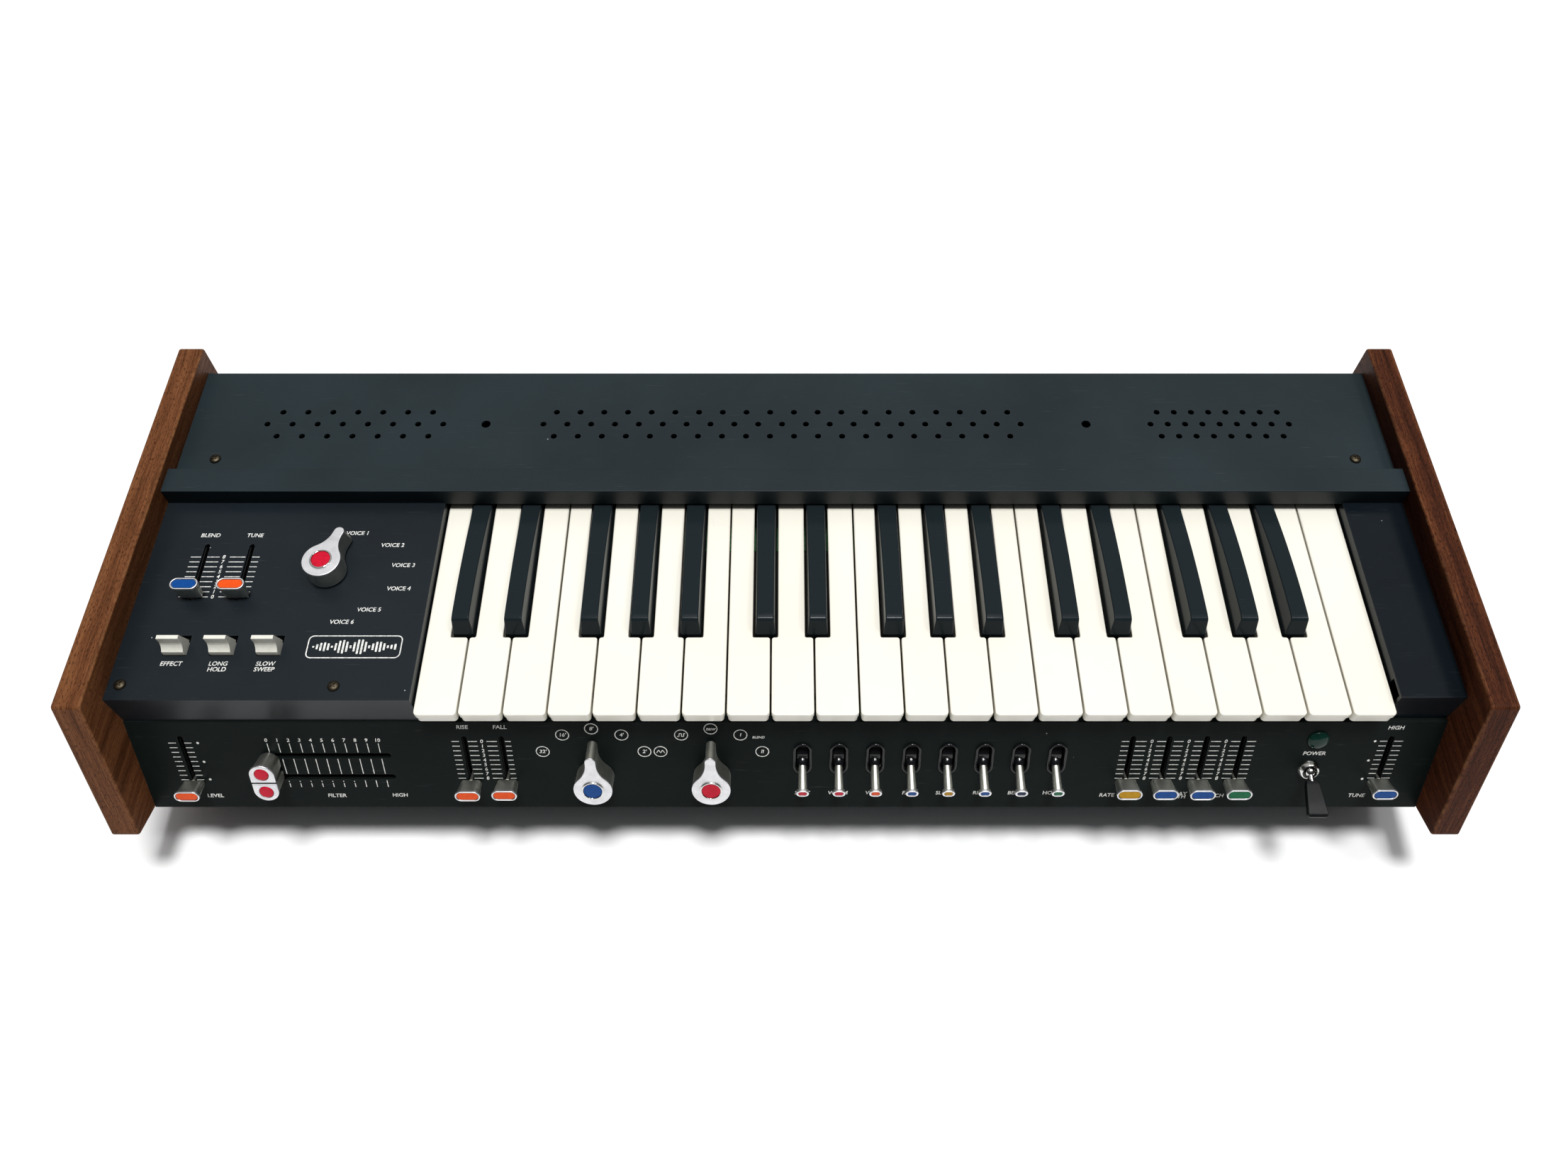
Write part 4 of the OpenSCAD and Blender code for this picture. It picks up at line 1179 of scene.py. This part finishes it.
def screw_head():
    """Pan head with a cross recess, in millimetres"""
    dome = [(3.2, 0.0), (3.2, 0.35), (3.0, 0.8), (2.5, 1.25), (1.7, 1.55), (0.8, 1.68), (0.0, 1.7)]
    head = lathe(dome, None, 28)
    bm = bmesh.new()
    bm.from_mesh(head)
    bpy.data.meshes.remove(head)
    solid = link("screw_head", to_mesh(bm))
    cross = bmesh.new()
    for turn in (45, 135):
        made = bmesh.ops.create_cube(cross, size=1.0)
        bmesh.ops.transform(cross, matrix=turned(turn, "Z") @ Matrix.Translation((0, 0, 1.8))
                            @ Matrix.Diagonal((3.8, 0.75, 1.9, 1.0)), verts=made["verts"])
    cutter = link("cross", to_mesh(cross))
    cut(solid, cutter)
    return solid


def cut(solid, cutter):
    """Takes one closed shape from another and removes the cutter"""
    modifier = solid.modifiers.new("cut", "BOOLEAN")
    modifier.operation = "DIFFERENCE"
    modifier.solver = "EXACT"
    modifier.use_self = True
    modifier.object = cutter
    mesh = evaluated_mesh(solid)
    solid.modifiers.clear()
    solid.data = mesh
    bpy.data.objects.remove(cutter)


def fasteners():
    """Case screws on every screw place, and the four rubber feet"""
    head = screw_head()
    tree = copies_tree()
    values = {"Piece": head, "Material": material(dull_brass)}
    centres = solids("case_screws", WORLD)
    cover_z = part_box("top_cover")[1].z * 1000
    back_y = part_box("top_cover")[1].y * 1000
    desk = [(c.x, c.y, 0) for c in centres if c.z < cover_z - 2 and c.y < 0]
    cover = [(c.x, c.y, 0) for c in centres if c.y > 0 and c.z > cover_z - 8]
    rear = [(-c.x, c.z - cover_z, 0) for c in centres if c.y > back_y - 1]
    back_wall = backwards(0, back_y * MM, cover_z * MM)
    made = [run_tree(tree, desk, values, DESK),
            run_tree(tree, cover, values, Matrix.Translation((0, 0, cover_z * MM))),
            run_tree(tree, rear, values, back_wall)]
    bpy.data.objects.remove(head)
    piece("case_screw_heads", made, dull_brass, "case", "dull_brass", "case_screws", sharp=30)
    feet = cad_copy("rubber_feet")
    soften(feet, wide_edges(feet, 50), 0.0012, 3)
    piece("rubber_foot_set", [to_mesh(feet)], foot_rubber, "case", "foot_rubber", "rubber_feet")


# ---------- Printed scales and lettering ----------
PRINT_H = 0.03
LETTER = 3.6
DIGIT = 3.3


def letters(text, x, y, place, size=LETTER, slant=0.1):
    """One line of slanted lettering, centred on a point of a panel"""
    curve = bpy.data.curves.new("letters", "FONT")
    curve.body = text
    curve.size = size
    curve.shear = slant
    curve.align_x = "CENTER"
    curve.align_y = "CENTER"
    curve.offset = 0.05
    curve.resolution_u = 3
    curve.extrude = PRINT_H / 2
    obj = link("letters", curve)
    mesh = evaluated_mesh(obj)
    bpy.data.objects.remove(obj)
    bpy.data.curves.remove(curve)
    mesh.transform(at(place, x, y, PRINT_H / 2) @ TO_METRES)
    return mesh


def flat_print(outline, place, holes=()):
    """Flat printed shape, such as a ring or a dot"""
    bm = bmesh.new()
    rings = [[bm.verts.new((x, y, 0)) for x, y in ring] for ring in (outline, *holes)]
    edges = [bm.edges.new((ring[k], ring[(k + 1) % len(ring)])) for ring in rings for k in range(len(ring))]
    bmesh.ops.triangle_fill(bm, use_beauty=True, use_dissolve=False, edges=edges)
    flat = bmesh.ops.extrude_face_region(bm, geom=bm.faces[:])
    for v in [g for g in flat["geom"] if isinstance(g, bmesh.types.BMVert)]:
        v.co.z = PRINT_H
    bmesh.ops.recalc_face_normals(bm, faces=bm.faces)
    return to_mesh(bm, place)


def line_print(points, width, place):
    """Printed line of one width through points"""
    left, right = [], []
    for i, point in enumerate(points):
        before = Vector(points[max(i - 1, 0)])
        after = Vector(points[min(i + 1, len(points) - 1)])
        run = (after - before).normalized()
        side = Vector((-run.y, run.x)) * width / 2
        left.append(tuple(Vector(point) + side))
        right.append(tuple(Vector(point) - side))
    return flat_print(right + left[::-1], place)


def bars(tree, points, length, width, place):
    """Printed bars of one size, centred on points of a panel"""
    values = {"Length": length, "Width": width, "Thickness": PRINT_H, "Material": material(screen_print)}
    return run_tree(tree, [(x, y, PRINT_H / 2) for x, y in points], values, place)


ROW = 3.33
ROW_0 = 13.7
ROWS = 9
LINE = 0.45


def vertical_scale(tree, x, sides, first, pitch, place):
    """Rows of scale lines beside an upright slot; each side is (from, to), measured from the slot"""
    made = []
    for start, end in sides:
        points = [(x + (start + end) / 2, first - row * pitch) for row in range(ROWS)]
        made.append(bars(tree, points, end - start, LINE, place))
    return made


def front_prints(tree):
    made = []
    level, attack, decay, rate, depth, delay, touch, tune = [c.x for c in solids("front_sliders", FRONT)]
    scales = ((level, (-7.3, -3.1), (1.5, 5.4), -14.8), (attack, (-7.1, -3.0), (1.8, 6.9), -ROW_0),
              (decay, (-8.3, -2.7), (1.8, 4.9), -ROW_0), (rate, (-5.9, -1.8), (1.8, 7.7), -ROW_0),
              (depth, (-6.6, -1.7), (2.6, 7.9), -ROW_0), (delay, (-6.6, -1.8), (2.4, 7.8), -ROW_0),
              (touch, (-6.8, -1.8), (2.0, 6.9), -ROW_0), (tune, (-5.8, -1.8), (2.0, 6.8), -13.5))
    for x, left, right, first in scales:
        made += vertical_scale(tree, x, (left, right), first, ROW, FRONT)
    made += [flat_print(circle(0.75, level + 8.8, -s, 16), FRONT) for s in (14.8, 28.3, 41.2)]
    made += [flat_print(circle(0.75, tune - 8.4, -s, 16), FRONT) for s in (13.5, 27.3, 40.8)]
    for x in ((attack + decay) / 2 - 0.9, rate + 10.4, depth + 10.7, delay + 10.5):
        for row in range(ROWS):
            made.append(letters(str(row), x, -ROW_0 - row * ROW, FRONT, DIGIT))
    for text, x, s in (("LEVEL", level + 8.6, 53.4), ("RISE", attack, 3.7), ("FALL", decay, 3.7),
                       ("RATE", rate - 8.6, 53.0), ("DEPTH", depth + 10.6, 54.2), ("DELAY", delay - 9.5, 52.0),
                       ("TOUCH", touch - 9.5, 53.4), ("HIGH", tune + 0.5, 4.1), ("TUNE", tune - 8.5, 53.2),
                       ("POWER", 290.3, 22.3)):
        made.append(letters(text, x, -s, FRONT))
    return made


def filter_prints(tree):
    made = []
    first, last = -283.0, -222.3
    places = [first + (last - first) * k / 10 for k in range(11)]
    for k, x in enumerate(places):
        made.append(letters(str(k), x - 0.2, -12.9, FRONT, DIGIT))
    for top, foot, kept in ((15.1, 21.5, places), (26.2, 37.0, places), (41.9, 46.8, places[8:]),
                            (42.3, 43.0, places[:8]), (44.0, 46.8, places[:8])):
        points = [(x, -(top + foot) / 2) for x in kept]
        made.append(bars(tree, points, LINE, foot - top, FRONT))
    made.append(letters("FILTER", -252.4, -53.3, FRONT))
    made.append(letters("HIGH", -216.9, -53.0, FRONT))
    return made


RING_ARC = 32.2


GLYPH_LINE = 0.42
WAVES = {"triangle": ((-2.2, -0.9), (-1.1, 1.1), (0.0, -0.9), (1.1, 1.1), (2.2, -0.9)),
         "square": ((-2.2, -1.0), (-1.1, -1.0), (-1.1, 1.0), (0.2, 1.0), (0.2, -1.0), (1.4, -1.0), (1.4, 1.0),
                    (2.3, 1.0))}


def knob_prints():
    """Rings round each selector: octave footages on the left one, waveforms on the right one"""
    made = []
    marks = {"footage": ("32'", "16'", "8'", "4'", "2'"), "waveform": ("triangle", "square", "saw", "I", "II")}
    for name, texts in marks.items():
        centre = local(FRONT, joints[name + "_selector_turn"]["pos_m"])
        for text, angle in zip(texts, (-60, -30, 0, 30, 60)):
            x = centre.x + RING_ARC * math.sin(math.radians(angle))
            y = centre.y + RING_ARC * math.cos(math.radians(angle))
            made.append(flat_print(circle(3.8, x, y, 40), FRONT, [circle(3.3, x, y, 40)]))
            if text in WAVES:
                glyph = WAVES[text]
                for a, b in zip(glyph, glyph[1:]):
                    made.append(line_print([(x + a[0], y + a[1]), (x + b[0], y + b[1])], GLYPH_LINE, FRONT))
            else:
                made.append(letters(text, x, y, FRONT, 3.4, 0.15))
    made.append(letters("BLEND", -14.7, -10.8, FRONT, 2.2))
    return made


LEVER_WORDS = ("SOFT", "WARM", "WIDE", "FAST", "SLOW", "RING", "BEND", "HOLD")


def lever_prints():
    return [letters(word, centre.x, -51.3, FRONT)
            for word, centre in zip(LEVER_WORDS, solids("tone_levers", FRONT))]


DESK_ROW_0 = -3.8
DESK_ROW = 3.29
VOICES = ((-243.4, 12.4), (-222.1, 4.2), (-213.8, -9.4), (-213.8, -24.8), (-227.7, -38.4), (-241.1, -46.2))
PADDLE_WORDS = (("EFFECT",), ("LONG", "HOLD"), ("SLOW", "SWEEP"))


def desk_prints(tree):
    made = []
    left, right = [c.x for c in solids("desk_sliders", DESK)]
    for x, sides in ((left, ((-7.5, -1.8), (1.8, 8.7))), (right, ((-10.7, -2.1), (1.8, 5.9)))):
        made += vertical_scale(tree, x, sides, DESK_ROW_0, DESK_ROW, DESK)
    for row in range(ROWS):
        made.append(letters(str(ROWS - 1 - row), left + 11.1, DESK_ROW_0 - row * DESK_ROW, DESK, DIGIT))
    made.append(letters("BLEND", left, 10.9, DESK))
    made.append(letters("TUNE", right, 10.9, DESK))
    for k, (x, y) in enumerate(VOICES):
        made.append(letters(f"VOICE {k + 1}", x, y, DESK))
    for words, centre in zip(PADDLE_WORDS, solids("effect_paddles", DESK)):
        for line, word in enumerate(words):
            made.append(letters(word, centre.x - 0.4, -72.0 - 3.4 * line, DESK))
    return made


BADGE = (-231.3, -61.6)
BADGE_HALF = (25.4, 7.0)
BADGE_LINE = 0.6
BADGE_BARS = 23
BADGE_PITCH = 2.0


def oblong(x, y, half, tall, radius):
    """Outline of a rectangle with round corners about a point"""
    return rounded([(x + i * half, y + j * tall, radius) for i, j in ((-1, -1), (1, -1), (1, 1), (-1, 1))])


def badge():
    """Plain badge: a rounded outline round a row of bars that rise and fall like a sound"""
    x, y = BADGE
    half, tall = BADGE_HALF
    made = [flat_print(oblong(x, y, half, tall, 3), DESK,
                       [oblong(x, y, half - BADGE_LINE, tall - BADGE_LINE, 2.4)])]
    middle = BADGE_BARS // 2
    for k in range(BADGE_BARS):
        swell = abs(math.sin(k * 0.62)) * (1 - abs(k - middle) / 16)
        made.append(flat_print(oblong(x + (k - middle) * BADGE_PITCH, y, 0.55, 0.5 + 4.6 * swell, 0.3), DESK))
    return made


def prints():
    tree = bar_tree()
    front = front_prints(tree) + filter_prints(tree) + knob_prints() + lever_prints()
    piece("front_panel_print", front, screen_print, "case", "panel_print")
    piece("side_panel_print", desk_prints(tree) + badge(), screen_print, "case", "panel_print")


# ---------- The whole instrument ----------
def main():
    set_camera()
    set_world()
    set_floor()
    case()
    keyboard()
    sliders()
    knobs()
    levers()
    paddles()
    power_switch()
    pilot_lamp()
    hidden_hardware()
    back_panel_hardware()
    fasteners()
    prints()


main()
